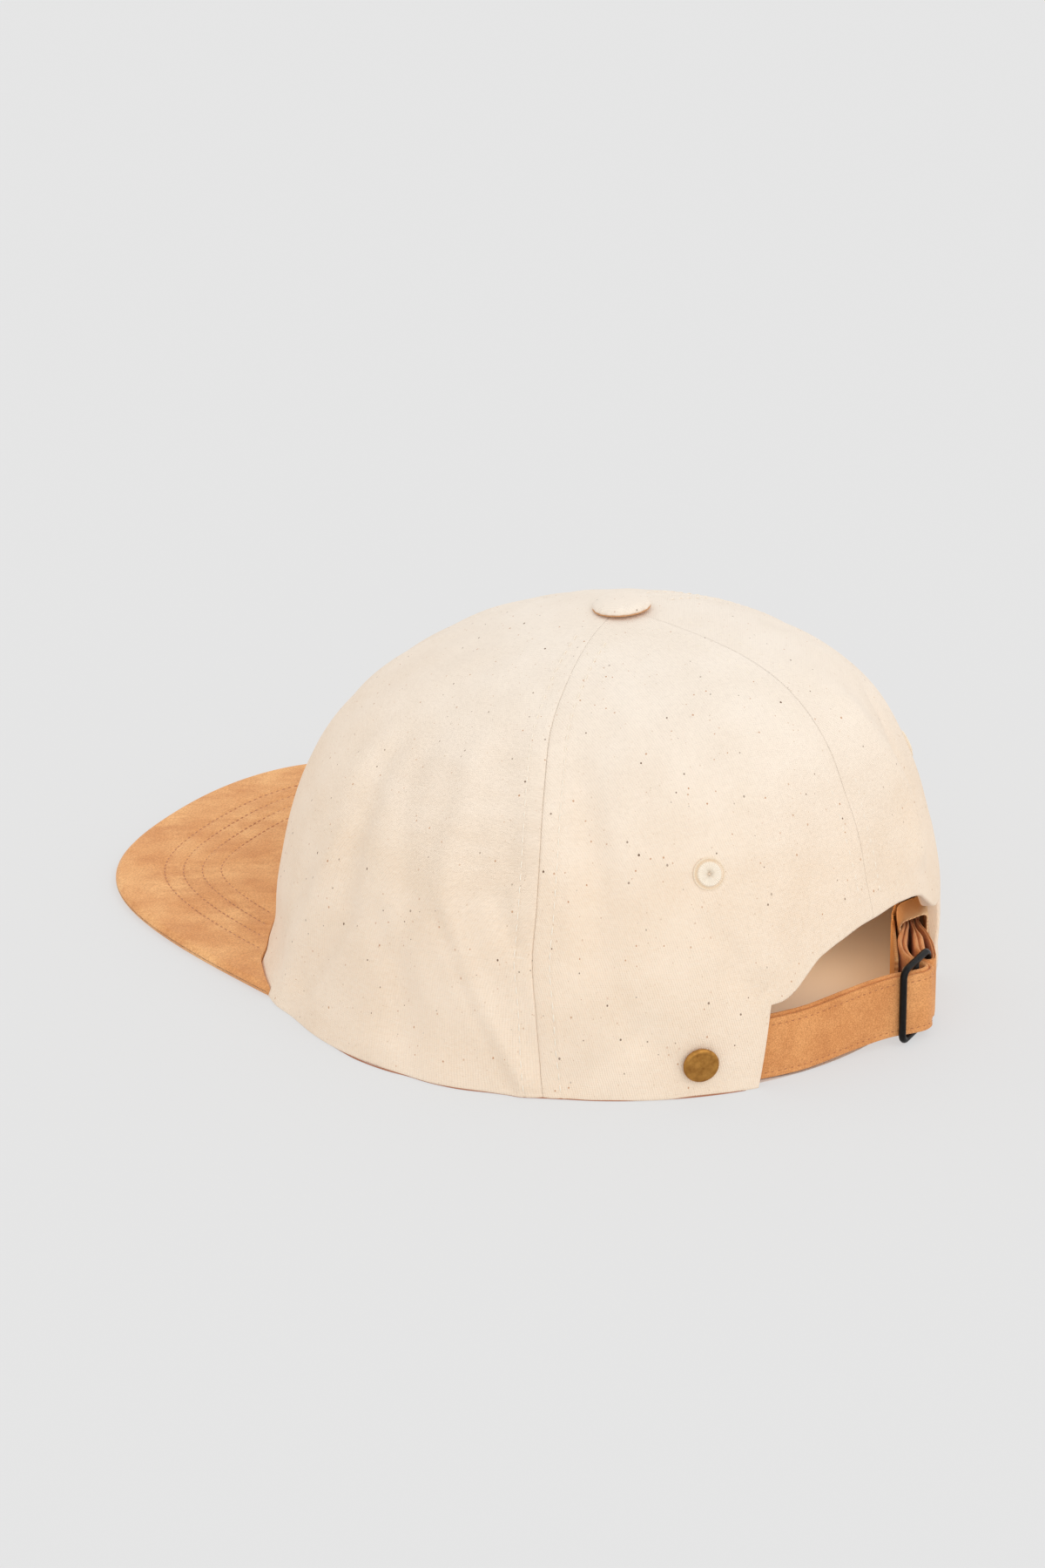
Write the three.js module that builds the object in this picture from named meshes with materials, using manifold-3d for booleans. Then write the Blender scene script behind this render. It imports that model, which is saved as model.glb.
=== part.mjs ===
// Three-panel cap with a flat peak and a strap-and-slide closure.
// Millimetres, +Z up. The peak points along -Y, the wearer's left is +X,
// and the cap stands on Z = 0 with its origin under the middle of its box.

import * as THREE from 'three';
import { mergeVertices } from 'three/addons/utils/BufferGeometryUtils.js';
import Module from 'manifold-3d';

const wasm = await Module();
wasm.setup();

// Driving dimensions of the crown
const crownHeight = 103;
const wallHeight = 30;
const cloth = 1.6;
const gap = 0.3;
const topHole = 3;

// Crown sections from the front to the back, the same on both sides.
// Angles in degrees from the front; each radius steers the profile at its height.
const sections = [
  { angle: 0, rim: 95.5, wall: 93.5, shoulder: 84.5, shoulderHeight: 66.5, brow: 40, browHeight: 95 },
  { angle: 45, rim: 99, wall: 93.5, shoulder: 84.5, shoulderHeight: 65.5, brow: 38.5, browHeight: 93.5 },
  { angle: 90, rim: 94.5, wall: 91.5, shoulder: 80.5, shoulderHeight: 66.5, brow: 40, browHeight: 94.5 },
  { angle: 135, rim: 91, wall: 89, shoulder: 77, shoulderHeight: 70.5, brow: 46.5, browHeight: 98.5 },
  { angle: 180, rim: 91.5, wall: 88, shoulder: 76.5, shoulderHeight: 77, brow: 55, browHeight: 102 },
];

// Seams, in degrees from the front round the wearer's left
const leftSeam = 108.5;
const rightSeam = 247;
// How far the side seams run forward on their way up, in degrees at even steps from rim to top
const sideSeamSweep = [0, 0.85, 1.6, 2.7, 2.8, 3.8, 6.2, 10, 12.7, 16.2, 20.2];
const backSeam = 173.5;

// Rear opening: an arch between two tabs, given as half of a symmetric outline
const openingCentre = 175;
const arch = [
  { offset: 0, height: 35.4 },
  { offset: 6, height: 35.4 },
  { offset: 12, height: 33.8 },
  { offset: 16, height: 31.6 },
  { offset: 18.7, height: 28.4 },
  { offset: 21.6, height: 24.9 },
  { offset: 24.2, height: 23 },
  { offset: 26.7, height: 22.6 },
];
const tabTop = arch[arch.length - 1].offset;
const tabFoot = { left: 29.6, right: 26.7 };

// Folds of the cloth: paths of [angle, height], half width and depth, ridges positive
const folds = [
  { path: [[56, 72], [62, 61], [65, 47], [65.5, 35], [61, 20], [57, 12]], width: 5, depth: -1.8 },
  { path: [[50, 72], [56, 58], [58.5, 44], [57, 30], [52, 18]], width: 6, depth: 0.6 },
  { path: [[74.5, 38], [80, 28], [84, 18], [85, 4]], width: 5, depth: -1 },
  {
    path: [[81, 79], [85.5, 71], [86.3, 60], [88, 47], [91, 38], [97, 23], [104.5, 4]],
    width: 4.5,
    depth: 1.6,
  },
  { path: [[87, 45], [90, 39], [96, 23], [103, 3]], width: 2.2, depth: -1.1 },
  { path: [[98, 52], [100, 47], [102, 42]], width: 3, depth: -1.1 },
  { path: [[106.5, 82], [114, 72], [117, 60], [117, 40]], width: 6, depth: -1.5 },
  { path: [[113, 5], [119.5, 12], [126, 20]], width: 4, depth: -0.9 },
  { path: [[137, 46], [143, 37]], width: 3, depth: -0.8 },
  { path: [[141, 33], [146.5, 27.5]], width: 4, depth: -1 },
  { path: [[20, 12], [42, 11]], width: 9, depth: -1.7 },
  { path: [[40, 0], [52, 0]], width: 6, depth: 1.9 },
  { path: [[76, 3], [93, 0]], width: 9, depth: 1.3 },
  { path: [[201, 0], [226, 2]], width: 16, depth: -3.4 },
  { path: [[187, 84], [191, 72], [195, 58], [194, 44]], width: 5, depth: 2 },
  { path: [[204, 80], [198.5, 70], [199, 58], [197, 46]], width: 3.5, depth: -1.2 },
  { path: [[235, 82], [226, 66], [222, 46]], width: 8, depth: -1.8 },
  { path: [[262, 76], [268, 52], [263, 28], [255, 4]], width: 6, depth: -2 },
  { path: [[272, 60], [276, 36], [270, 12]], width: 6, depth: 1.5 },
  { path: [[305, 70], [297, 50], [300, 26], [309, 6]], width: 6, depth: -1.8 },
];

// Peak: a flat board whose outer edge is a mirrored cubic curve, turned a little
const peakThickness = 3.4;
const peakEdge = 0.8;
const peakCornerAngle = 50;
const peakCornerWidth = 1.6;
const peakTip = 151.9;
const peakCornerPull = { left: [59.4, -133.2], right: [72, -134.3] };
const peakTipPull = { left: 46.8, right: 44.4 };
const peakTurn = -0.76;

// Turned shapes: each row is a share of the radius and a share of the rise
const button = {
  radius: 8.2,
  rise: 4.6,
  shape: [[0, 0], [0.9, 0], [1, 0.17], [0.97, 0.38], [0.88, 0.62], [0.68, 0.83], [0.37, 0.96], [0, 1]],
};
const rivet = {
  angle: 135,
  height: 9.5,
  radius: 4.9,
  rise: 1.7,
  shape: [[0, 0], [1, 0], [1, 0.3], [0.8, 0.75], [0.45, 1], [0, 1]],
};
const eyelet = {
  left: 138.5,
  right: 218,
  height: 59.5,
  radius: 4.4,
  rise: 0.6,
  shape: [[0.16, 0], [1, 0], [0.85, 0.8], [0.5, 1], [0.16, 0.5], [0.16, 0]],
};

// Strap, as plan points [x, y, height of the lower edge], from the left tab to the right
const strapWidth = 18.2;
const strapThickness = 2;
const strapRoute = [
  [60.6, 60, 0.1], [53.6, 66.1, 0.1], [46.6, 71.8, 0.1], [41, 76.2, 0.4], [34.6, 80.4, 0.9],
  [22.6, 86, 2], [15.6, 89.3, 2.5], [10.4, 92, 2.6], [6.6, 94.9, 2.6], [2.8, 97.3, 2.6],
  [-0.1, 97.3, 2.6], [-1.4, 95, 2.6], [-1.8, 91.6, 2.6], [-4.8, 87.4, 2.4], [-11, 82.9, 1.8],
  [-17.6, 79.8, 1.3], [-22.3, 77.7, 1.1], [-26.4, 75.2, 1.1], [-33.2, 71.6, 1.1],
];

// Short suede loop from the right tab round the far bar of the slide
const anchorWidth = 17.6;
const anchorThickness = 1;
const anchorOuterLeg = [[-8, 94.6], [-15.4, 89.6], [-20.8, 85], [-24.5, 80.8], [-28.2, 77.9], [-36.3, 73.7]];
const anchorInnerLeg = [
  [-6.9, 91.4], [-10.4, 88.7], [-17.6, 84], [-23.5, 79.3], [-27.2, 76.7], [-35.6, 72.4],
];
const anchorLow = { atSlide: 2.6, atTab: 1.1, tabX: -22 };
const anchorTurn = { start: 125, sweep: 205, steps: 8 };

// Wire slide with three upright bars, standing just off the ground
const wire = 2;
const wireClearance = 0.25;
const slideNear = [10.2, 95.2];
const slideFar = [-5.2, 94];
const slideBottom = 0.4;
const slideTop = 23.4;
const slideCorner = 2;
const wireSides = 8;

// Twill loop round the strap's layers, and the sweatband with its free tail
const loop = {
  centre: [-26.2, 77.45],
  heading: 33,
  slant: 0.5,
  along: 9.2,
  inside: 7.2,
  tape: 0.7,
  low: 0.2,
  high: 21.4,
};
const band = {
  low: 0.6,
  high: 28,
  tailHigh: 19.5,
  thickness: 1,
  depth: 4.2,
  left: { end: 144, extra: 3.2, easeFrom: 26, easeTo: 15 },
  right: { end: 199, extra: 10.2, easeFrom: 12, easeTo: 34 },
  columns: 50,
};
const bandTail = [[-0.6, 87], [-4, 84.9], [-9.9, 81.2], [-16, 77.4], [-20.3, 74.7]];

// Mesh density
const rows = 20;
const frontColumns = 40;
const rimColumns = 9;
const edgeColumns = 3;
const archColumns = 7;
const peakSteps = 16;

const radians = THREE.MathUtils.degToRad;

// The value between two limits at which a test turns from true to false
function turningValue(test, from, to) {
  let low = from;
  let high = to;
  const halvings = 30;
  for (let step = 0; step < halvings; step += 1) {
    const middle = (low + high) / 2;
    if (test(middle)) low = middle;
    else high = middle;
  }
  return (low + high) / 2;
}

// Smooth even interpolation of one column of the section table round the crown
function aroundCrown(column) {
  const last = sections.length - 1;
  const weight = (index) => (index === 0 || index === last ? 0.5 : 1);
  const waves = sections.map((_, wave) => {
    let sum = 0;
    sections.forEach((section, index) => {
      sum += weight(index) * section[column] * Math.cos((Math.PI * index * wave) / last);
    });
    return (weight(wave) * 2 * sum) / last;
  });
  return (angle) => waves.reduce((sum, wave, k) => sum + wave * Math.cos(k * radians(angle)), 0);
}

const rimAt = aroundCrown('rim');
const wallAt = aroundCrown('wall');
const shoulderAt = aroundCrown('shoulder');
const shoulderHeightAt = aroundCrown('shoulderHeight');
const browAt = aroundCrown('brow');
const browHeightAt = aroundCrown('browHeight');

// Uniform cubic B-spline through a list of control values
function spline(values, t) {
  const spans = values.length - 3;
  const place = Math.min(Math.max(t, 0), 1) * spans;
  const span = Math.min(Math.floor(place), spans - 1);
  const u = place - span;
  const weights = [
    (1 - u) ** 3,
    3 * u ** 3 - 6 * u ** 2 + 4,
    -3 * u ** 3 + 3 * u ** 2 + 3 * u + 1,
    u ** 3,
  ];
  return weights.reduce((sum, weight, k) => sum + (weight * values[span + k]) / 6, 0);
}

// Crown profile at one angle: t runs from 0 at the rim to 1 at the top
function profile(angle, t) {
  const rim = rimAt(angle);
  const wall = wallAt(angle);
  const brow = browAt(angle);
  const browHeight = browHeightAt(angle);
  // This control makes the curve end level at the crown's height
  const topControl = (6 * crownHeight - 2 * browHeight) / 4;
  const radius = spline([2 * rim - wall, rim, wall, shoulderAt(angle), brow, 0, -brow], t);
  const height = spline(
    [-wallHeight, 0, wallHeight, shoulderHeightAt(angle), browHeight, topControl, browHeight], t);
  return { radius, height };
}

function smoothPoint(angle, t) {
  const { radius, height } = profile(angle, t);
  const a = radians(angle);
  return new THREE.Vector3(radius * Math.sin(a), -radius * Math.cos(a), height);
}

// Outward normal of a surface given as a function of angle and t
function normalOf(surface, angle, t) {
  const angleStep = 0.5;
  const tStep = 0.004;
  const highest = 0.986;
  const place = Math.min(t, highest);
  const across = surface(angle + angleStep, place).sub(surface(angle - angleStep, place));
  const up = surface(angle, place + tStep).sub(surface(angle, Math.max(place - tStep, 0)));
  return across.cross(up).normalize();
}

// Distance on the unrolled crown from a point to a fold's path
function foldDistance(fold, angle, height, radius) {
  const perDegree = radians(1) * radius;
  let nearest = Infinity;
  for (let k = 0; k + 1 < fold.path.length; k += 1) {
    const [startAngle, startHeight] = fold.path[k];
    const [endAngle, endHeight] = fold.path[k + 1];
    const along = [(endAngle - startAngle) * perDegree, endHeight - startHeight];
    const to = [(angle - startAngle) * perDegree, height - startHeight];
    const length = along[0] ** 2 + along[1] ** 2;
    const share = THREE.MathUtils.clamp((to[0] * along[0] + to[1] * along[1]) / length, 0, 1);
    nearest = Math.min(nearest, Math.hypot(to[0] - share * along[0], to[1] - share * along[1]));
  }
  return nearest;
}

function foldDepth(angle, t) {
  const { radius, height } = profile(angle, t);
  const turn = ((angle % 360) + 360) % 360;
  let depth = 0;
  for (const fold of folds) {
    const away = foldDistance(fold, turn, height, radius) / fold.width;
    depth += fold.depth * Math.exp(-(away ** 2));
  }
  return depth;
}

function crownPoint(angle, t) {
  const depth = foldDepth(angle, t);
  return smoothPoint(angle, t).addScaledVector(normalOf(smoothPoint, angle, t), depth);
}

// A point below the crown's outer face by the given depth
function insideCrown(angle, t, depth) {
  return crownPoint(angle, t).addScaledVector(normalOf(crownPoint, angle, t), -depth);
}

// The t at which the smooth crown reaches a height
function heightToT(angle, height) {
  return turningValue((t) => profile(angle, t).height < height, 0, 1);
}

// Closed solid between two grids of points, indexed [column][row]
function solidBetween(outer, inner) {
  const columns = outer.length;
  const count = outer[0].length;
  const positions = [];
  const triangles = [];
  const index = (side, i, j) => side * columns * count + i * count + j;
  for (const grid of [outer, inner]) {
    for (const column of grid) for (const p of column) positions.push(p.x, p.y, p.z);
  }
  const quad = (a, b, c, d) => triangles.push(a, b, c, a, c, d);
  for (let i = 0; i + 1 < columns; i += 1) {
    for (let j = 0; j + 1 < count; j += 1) {
      quad(index(0, i, j), index(0, i + 1, j), index(0, i + 1, j + 1), index(0, i, j + 1));
      quad(index(1, i, j), index(1, i, j + 1), index(1, i + 1, j + 1), index(1, i + 1, j));
    }
  }
  const border = [];
  for (let i = 0; i < columns; i += 1) border.push([i, 0]);
  for (let j = 1; j < count; j += 1) border.push([columns - 1, j]);
  for (let i = columns - 2; i >= 0; i -= 1) border.push([i, count - 1]);
  for (let j = count - 2; j > 0; j -= 1) border.push([0, j]);
  border.forEach(([i, j], k) => {
    const [ni, nj] = border[(k + 1) % border.length];
    quad(index(1, i, j), index(1, ni, nj), index(0, ni, nj), index(0, i, j));
  });
  const geometry = new THREE.BufferGeometry();
  geometry.setAttribute('position', new THREE.Float32BufferAttribute(positions, 3));
  geometry.setIndex(triangles);
  return geometry;
}

// Cloth shell over a grid of [angle, t] pairs on the crown
function clothShell(grid) {
  const outer = grid.map((column) => column.map(([angle, t]) => crownPoint(angle, t)));
  const inner = grid.map((column) => column.map(([angle, t]) => insideCrown(angle, t, cloth)));
  for (const side of [outer, inner]) {
    for (const column of side) for (const p of column) p.z = Math.max(p.z, 0);
  }
  return solidBetween(outer, inner);
}

// Smooth curve through the side seam's table of sweeps
function seamSweepAt(t) {
  const last = sideSeamSweep.length - 1;
  const k = Math.min(Math.floor(t * last), last - 1);
  const u = t * last - k;
  const at = (i) => sideSeamSweep[THREE.MathUtils.clamp(i, 0, last)];
  const [a, b, c, d] = [at(k - 1), at(k), at(k + 1), at(k + 2)];
  return 0.5 * (2 * b + (c - a) * u + (2 * a - 5 * b + 4 * c - d) * u ** 2 + (3 * b - a - 3 * c + d) * u ** 3);
}

// The panels end round a small hole that the button covers
const topT = turningValue((t) => profile(0, t).radius > topHole, 0, 1);

const leftSeamAt = (t) => leftSeam - seamSweepAt(t);
const rightSeamAt = (t) => rightSeam + seamSweepAt(t);
const backSeamAt = () => backSeam;

// A panel between two seams, whose lower border is a list of [angle, t]
function panel(fromSeam, toSeam, lowerBorder) {
  const last = lowerBorder.length - 1;
  const grid = lowerBorder.map(([borderAngle, borderT], i) => {
    const borderShare = (borderAngle - fromSeam(borderT)) / (toSeam(borderT) - fromSeam(borderT));
    const topShare = i / last;
    const column = [];
    for (let j = 0; j <= rows; j += 1) {
      const v = j / rows;
      const t = borderT + (topT - borderT) * v;
      const half = THREE.MathUtils.radToDeg(gap / 2 / profile(leftSeam, t).radius);
      const from = fromSeam(t) + half;
      const to = toSeam(t) - half;
      const share = i === 0 ? 0 : i === last ? 1 : borderShare + (topShare - borderShare) * v;
      column.push([from + (to - from) * share, t]);
    }
    return column;
  });
  return clothShell(grid);
}

// Height of the rear arch at an angle, by a smooth curve through its table
function archHeight(angle) {
  const offset = Math.abs(angle - openingCentre);
  const next = Math.max(arch.findIndex((row) => row.offset >= offset), 1);
  const value = (k) => arch[Math.min(Math.abs(k), arch.length - 1)].height;
  const start = arch[next - 1].offset;
  const u = (offset - start) / (arch[next].offset - start);
  const slopeIn = (value(next) - value(next - 2)) / 2;
  const slopeOut = (value(next + 1) - value(next - 1)) / 2;
  return value(next - 1) * (2 * u ** 3 - 3 * u ** 2 + 1) + value(next) * (3 * u ** 2 - 2 * u ** 3)
    + slopeIn * (u ** 3 - 2 * u ** 2 + u) + slopeOut * (u ** 3 - u ** 2);
}

// Lower border of a back panel: along the rim, up the tab's end, along the arch
function backBorder(seamAtRim, side, footOffset) {
  const corner = openingCentre + side * tabTop;
  const foot = openingCentre + side * footOffset;
  const border = [];
  for (let i = 0; i < rimColumns; i += 1) {
    border.push([seamAtRim + ((foot - seamAtRim) * i) / rimColumns, 0]);
  }
  const cornerT = heightToT(corner, archHeight(corner));
  for (let i = 0; i < edgeColumns; i += 1) {
    border.push([foot + ((corner - foot) * i) / edgeColumns, (cornerT * i) / edgeColumns]);
  }
  for (let i = 0; i <= archColumns; i += 1) {
    const angle = corner + ((backSeam - corner) * i) / archColumns;
    border.push([angle, heightToT(angle, archHeight(angle))]);
  }
  return border;
}

function frontBorder() {
  const border = [];
  for (let i = 0; i <= frontColumns; i += 1) {
    border.push([rightSeam - 360 + ((leftSeam - rightSeam + 360) * i) / frontColumns, 0]);
  }
  return border;
}

// The peak: its inner edge follows the crown, its outer edge the cubic curve
function peakGeometry() {
  const cornerRadius = rimAt(peakCornerAngle) + gap + peakCornerWidth;
  const a = radians(peakCornerAngle);
  const corner = new THREE.Vector2(cornerRadius * Math.sin(a), -cornerRadius * Math.cos(a));
  const halfEdge = (side) => new THREE.CubicBezierCurve(
    corner,
    new THREE.Vector2(...peakCornerPull[side]),
    new THREE.Vector2(peakTipPull[side], -peakTip),
    new THREE.Vector2(0, -peakTip),
  ).getPoints(peakSteps);
  const left = halfEdge('left').reverse();
  const right = halfEdge('right').slice(0, peakSteps);
  for (const p of right) p.x = -p.x;
  const outerEdge = [...right, ...left];
  const origin = new THREE.Vector2();
  for (const p of new Set(outerEdge)) p.rotateAround(origin, radians(peakTurn));
  const count = outerEdge.length - 1;
  const shares = [0, 0.33, 0.66, 1];
  const largestEdgeShare = 0.4;
  const top = [];
  const bottom = [];
  outerEdge.forEach((edge, i) => {
    const angle = peakTurn - peakCornerAngle + (2 * peakCornerAngle * i) / count;
    const foot = crownPoint(angle, 0);
    const outward = new THREE.Vector2(foot.x, foot.y).normalize();
    const root = new THREE.Vector2(foot.x, foot.y).addScaledVector(outward, gap);
    const width = root.distanceTo(edge);
    const flatEnd = 1 - Math.min(peakEdge / width, largestEdgeShare);
    const upper = shares.map((share) => root.clone().lerp(edge, share * flatEnd));
    const topColumn = upper.map((p) => new THREE.Vector3(p.x, p.y, peakThickness));
    topColumn.push(new THREE.Vector3(edge.x, edge.y, peakThickness - peakEdge));
    const bottomColumn = upper.map((p) => new THREE.Vector3(p.x, p.y, 0));
    bottomColumn.push(new THREE.Vector3(edge.x, edge.y, peakEdge));
    top.push(topColumn.reverse());
    bottom.push(bottomColumn.reverse());
  });
  return solidBetween(top, bottom);
}

// Upright band of even thickness along a plan route of [x, y, lower edge]
function uprightBand(route, thickness, width) {
  const outer = [];
  const inner = [];
  route.forEach(([x, y, low], i) => {
    const before = route[Math.max(i - 1, 0)];
    const after = route[Math.min(i + 1, route.length - 1)];
    const run = new THREE.Vector2(after[0] - before[0], after[1] - before[1]).normalize();
    const side = new THREE.Vector2(run.y, -run.x).multiplyScalar(thickness / 2);
    const column = (sign) => [0, 0.5, 1].map((share) => (
      new THREE.Vector3(x + sign * side.x, y + sign * side.y, low + width * share)));
    outer.push(column(1));
    inner.push(column(-1));
  });
  return solidBetween(outer, inner);
}

// A route refined by a smooth curve, with a fixed number of steps
function smoothRoute(points, steps) {
  const curve = new THREE.CatmullRomCurve3(points.map(([x, y, low]) => new THREE.Vector3(x, y, low)));
  return curve.getPoints(steps).map((p) => [p.x, p.y, p.z]);
}

// The short suede loop: one leg, a turn round the far bar, and the other leg
function anchorRoute() {
  const turnRadius = wire / 2 + wireClearance + anchorThickness / 2;
  const turn = [];
  for (let i = 0; i <= anchorTurn.steps; i += 1) {
    const a = radians(anchorTurn.start - (anchorTurn.sweep * i) / anchorTurn.steps);
    const x = slideFar[0] + turnRadius * Math.cos(a);
    turn.push([x, slideFar[1] + turnRadius * Math.sin(a), anchorLow.atSlide]);
  }
  const lowEdge = ([x, y]) => {
    const share = THREE.MathUtils.smoothstep(-x, -slideFar[0], -anchorLow.tabX);
    return [x, y, THREE.MathUtils.lerp(anchorLow.atSlide, anchorLow.atTab, share)];
  };
  const legSteps = 10;
  const legOut = smoothRoute(anchorOuterLeg.map(lowEdge), legSteps).reverse();
  const legIn = smoothRoute(anchorInnerLeg.map(lowEdge), legSteps);
  return [...legOut, ...turn, ...legIn];
}

// One solid from two that overlap
function joined(first, second) {
  const [a, b] = [first, second].map((geometry) => {
    for (const name of ['normal', 'uv']) geometry.deleteAttribute(name);
    const merged = mergeVertices(geometry, weldDistance);
    return new wasm.Manifold(new wasm.Mesh({
      numProp: 3,
      vertProperties: new Float32Array(merged.attributes.position.array),
      triVerts: new Uint32Array(merged.index.array),
    }));
  });
  const mesh = a.add(b).getMesh();
  const geometry = new THREE.BufferGeometry();
  geometry.setAttribute('position', new THREE.Float32BufferAttribute(mesh.vertProperties, 3));
  geometry.setIndex([...mesh.triVerts]);
  return geometry;
}

// Ring of wire with round corners, standing in the plane of its bars
function slideRing() {
  const near = new THREE.Vector3(...slideNear, 0);
  const far = new THREE.Vector3(...slideFar, 0);
  const width = near.distanceTo(far);
  const ring = [];
  const bottom = slideBottom + wire / 2;
  const top = slideTop - wire / 2;
  const cornerSteps = 4;
  const corners = [
    { x: width - slideCorner, z: bottom + slideCorner, start: -90 },
    { x: width - slideCorner, z: top - slideCorner, start: 0 },
    { x: slideCorner, z: top - slideCorner, start: 90 },
    { x: slideCorner, z: bottom + slideCorner, start: 180 },
  ];
  for (const corner of corners) {
    for (let i = 0; i <= cornerSteps; i += 1) {
      const a = radians(corner.start + (90 * i) / cornerSteps);
      ring.push([corner.x + slideCorner * Math.cos(a), corner.z + slideCorner * Math.sin(a)]);
    }
  }
  const along = near.clone().sub(far).normalize();
  const across = new THREE.Vector3(0, 0, 1).cross(along);
  const positions = [];
  const triangles = [];
  const centre = [width / 2, (top + bottom) / 2];
  ring.forEach(([x, z], i) => {
    const before = ring[(i + ring.length - 1) % ring.length];
    const after = ring[(i + 1) % ring.length];
    const run = new THREE.Vector2(after[0] - before[0], after[1] - before[1]).normalize();
    const out = new THREE.Vector2(run.y, -run.x);
    if (out.x * (x - centre[0]) + out.y * (z - centre[1]) < 0) out.negate();
    for (let k = 0; k < wireSides; k += 1) {
      const a = (2 * Math.PI * (k + 0.5)) / wireSides;
      const reach = (wire / 2) * Math.cos(a);
      const p = far.clone().addScaledVector(along, x + out.x * reach);
      p.addScaledVector(across, (wire / 2) * Math.sin(a));
      positions.push(p.x, p.y, z + out.y * reach);
    }
  });
  for (let i = 0; i < ring.length; i += 1) {
    const n = (i + 1) % ring.length;
    for (let k = 0; k < wireSides; k += 1) {
      const m = (k + 1) % wireSides;
      triangles.push(i * wireSides + k, n * wireSides + m, n * wireSides + k);
      triangles.push(i * wireSides + k, i * wireSides + m, n * wireSides + m);
    }
  }
  const geometry = new THREE.BufferGeometry();
  geometry.setAttribute('position', new THREE.Float32BufferAttribute(positions, 3));
  geometry.setIndex(triangles);
  return geometry;
}

// The slide: the ring joined to a middle bar halfway between its two ends
function slideGeometry() {
  const low = slideBottom + wire / 2;
  const high = slideTop - wire / 2;
  const bar = new THREE.CylinderGeometry(wire / 2, wire / 2, high - low, wireSides);
  bar.rotateX(Math.PI / 2);
  bar.translate((slideNear[0] + slideFar[0]) / 2, (slideNear[1] + slideFar[1]) / 2, (low + high) / 2);
  return joined(slideRing(), bar);
}

// Flat tape ring round the strap's layers
function loopGeometry() {
  const outer = { x: loop.inside / 2 + loop.tape, z: [loop.low, loop.high] };
  const shape = new THREE.Shape();
  const rectangle = (path, halfX, low, high) => {
    path.moveTo(-halfX, low);
    path.lineTo(halfX, low);
    path.lineTo(halfX, high);
    path.lineTo(-halfX, high);
    path.closePath();
  };
  rectangle(shape, outer.x, ...outer.z);
  const hole = new THREE.Path();
  rectangle(hole, loop.inside / 2, loop.low + loop.tape, loop.high - loop.tape);
  shape.holes.push(hole);
  const geometry = new THREE.ExtrudeGeometry(shape, { depth: loop.along, bevelEnabled: false });
  geometry.translate(0, 0, -loop.along / 2);
  geometry.rotateX(Math.PI / 2);
  const slant = new THREE.Matrix4().makeShear(loop.slant, 0, 0, 0, 0, 0);
  return geometry.applyMatrix4(slant);
}

// Twill band inside the rim, from tab to tab, with a free tail at its right end
function sweatbandGeometry() {
  const shares = [0, 0.5, 1];
  const smoothstep = THREE.MathUtils.smoothstep;
  const tailSteps = 8;
  const tail = smoothRoute(bandTail.map(([x, y]) => [x, y, band.low]), tailSteps);
  const outer = [];
  const inner = [];
  tail.forEach(([x, y], i) => {
    const before = tail[Math.max(i - 1, 0)];
    const after = tail[Math.min(i + 1, tail.length - 1)];
    const run = new THREE.Vector2(after[0] - before[0], after[1] - before[1]).normalize();
    const side = new THREE.Vector2(-run.y, run.x).multiplyScalar(band.thickness / 2);
    const column = (sign) => shares.map((share) => {
      const height = THREE.MathUtils.lerp(band.low, band.tailHigh, share);
      return new THREE.Vector3(x + sign * side.x, y + sign * side.y, height);
    });
    outer.push(column(1));
    inner.push(column(-1));
  });
  const start = band.right.end - 360;
  const end = band.left.end;
  for (let i = 0; i <= band.columns; i += 1) {
    const angle = start + ((end - start) * i) / band.columns;
    const left = smoothstep(angle, end - band.left.easeFrom, end - band.left.easeTo);
    const right = 1 - smoothstep(angle, start + band.right.easeFrom, start + band.right.easeTo);
    const depth = band.depth + left * band.left.extra + right * band.right.extra;
    const high = THREE.MathUtils.lerp(band.high, band.tailHigh, right);
    const column = (extra) => shares.map((share) => {
      const height = band.low + share * (high - band.low);
      const t = heightToT(angle, THREE.MathUtils.lerp(height, band.low, right));
      const p = smoothPoint(angle, t).addScaledVector(normalOf(smoothPoint, angle, t), -depth - extra);
      p.z = height;
      return p;
    });
    outer.push(column(0));
    inner.push(column(band.thickness));
  }
  return solidBetween(outer, inner);
}

// Small parts that lie on the crown: turned shapes laid along the cloth's normal
function placeOnCrown(mesh, angle, height, lift) {
  const t = heightToT(angle, height);
  const normal = normalOf(crownPoint, angle, t);
  mesh.position.copy(crownPoint(angle, t)).addScaledVector(normal, lift);
  mesh.quaternion.setFromUnitVectors(new THREE.Vector3(0, 1, 0), normal);
}

function turned({ radius, rise, shape }, segments) {
  return new THREE.LatheGeometry(shape.map(([r, h]) => new THREE.Vector2(r * radius, h * rise)), segments);
}

function finish(color, roughness, metalness = 0) {
  return new THREE.MeshStandardMaterial({ color, roughness, metalness });
}

const cotton = finish(0xf3e3cf, 0.95);
const suede = finish(0xd6985f, 0.9);
const twill = finish(0xb28a66, 0.9);
const brass = finish(0xae7940, 0.4, 0.9);
const blackSteel = finish(0x1c1a19, 0.45, 0.6);

const turnedSides = 24;
const weldDistance = 1e-4;
const strapSteps = 48;
const cap = new THREE.Group();

function add(name, geometry, material) {
  geometry.deleteAttribute('normal');
  geometry.deleteAttribute('uv');
  const mesh = new THREE.Mesh(mergeVertices(geometry, weldDistance), material);
  mesh.name = name;
  cap.add(mesh);
  return mesh;
}

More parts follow.
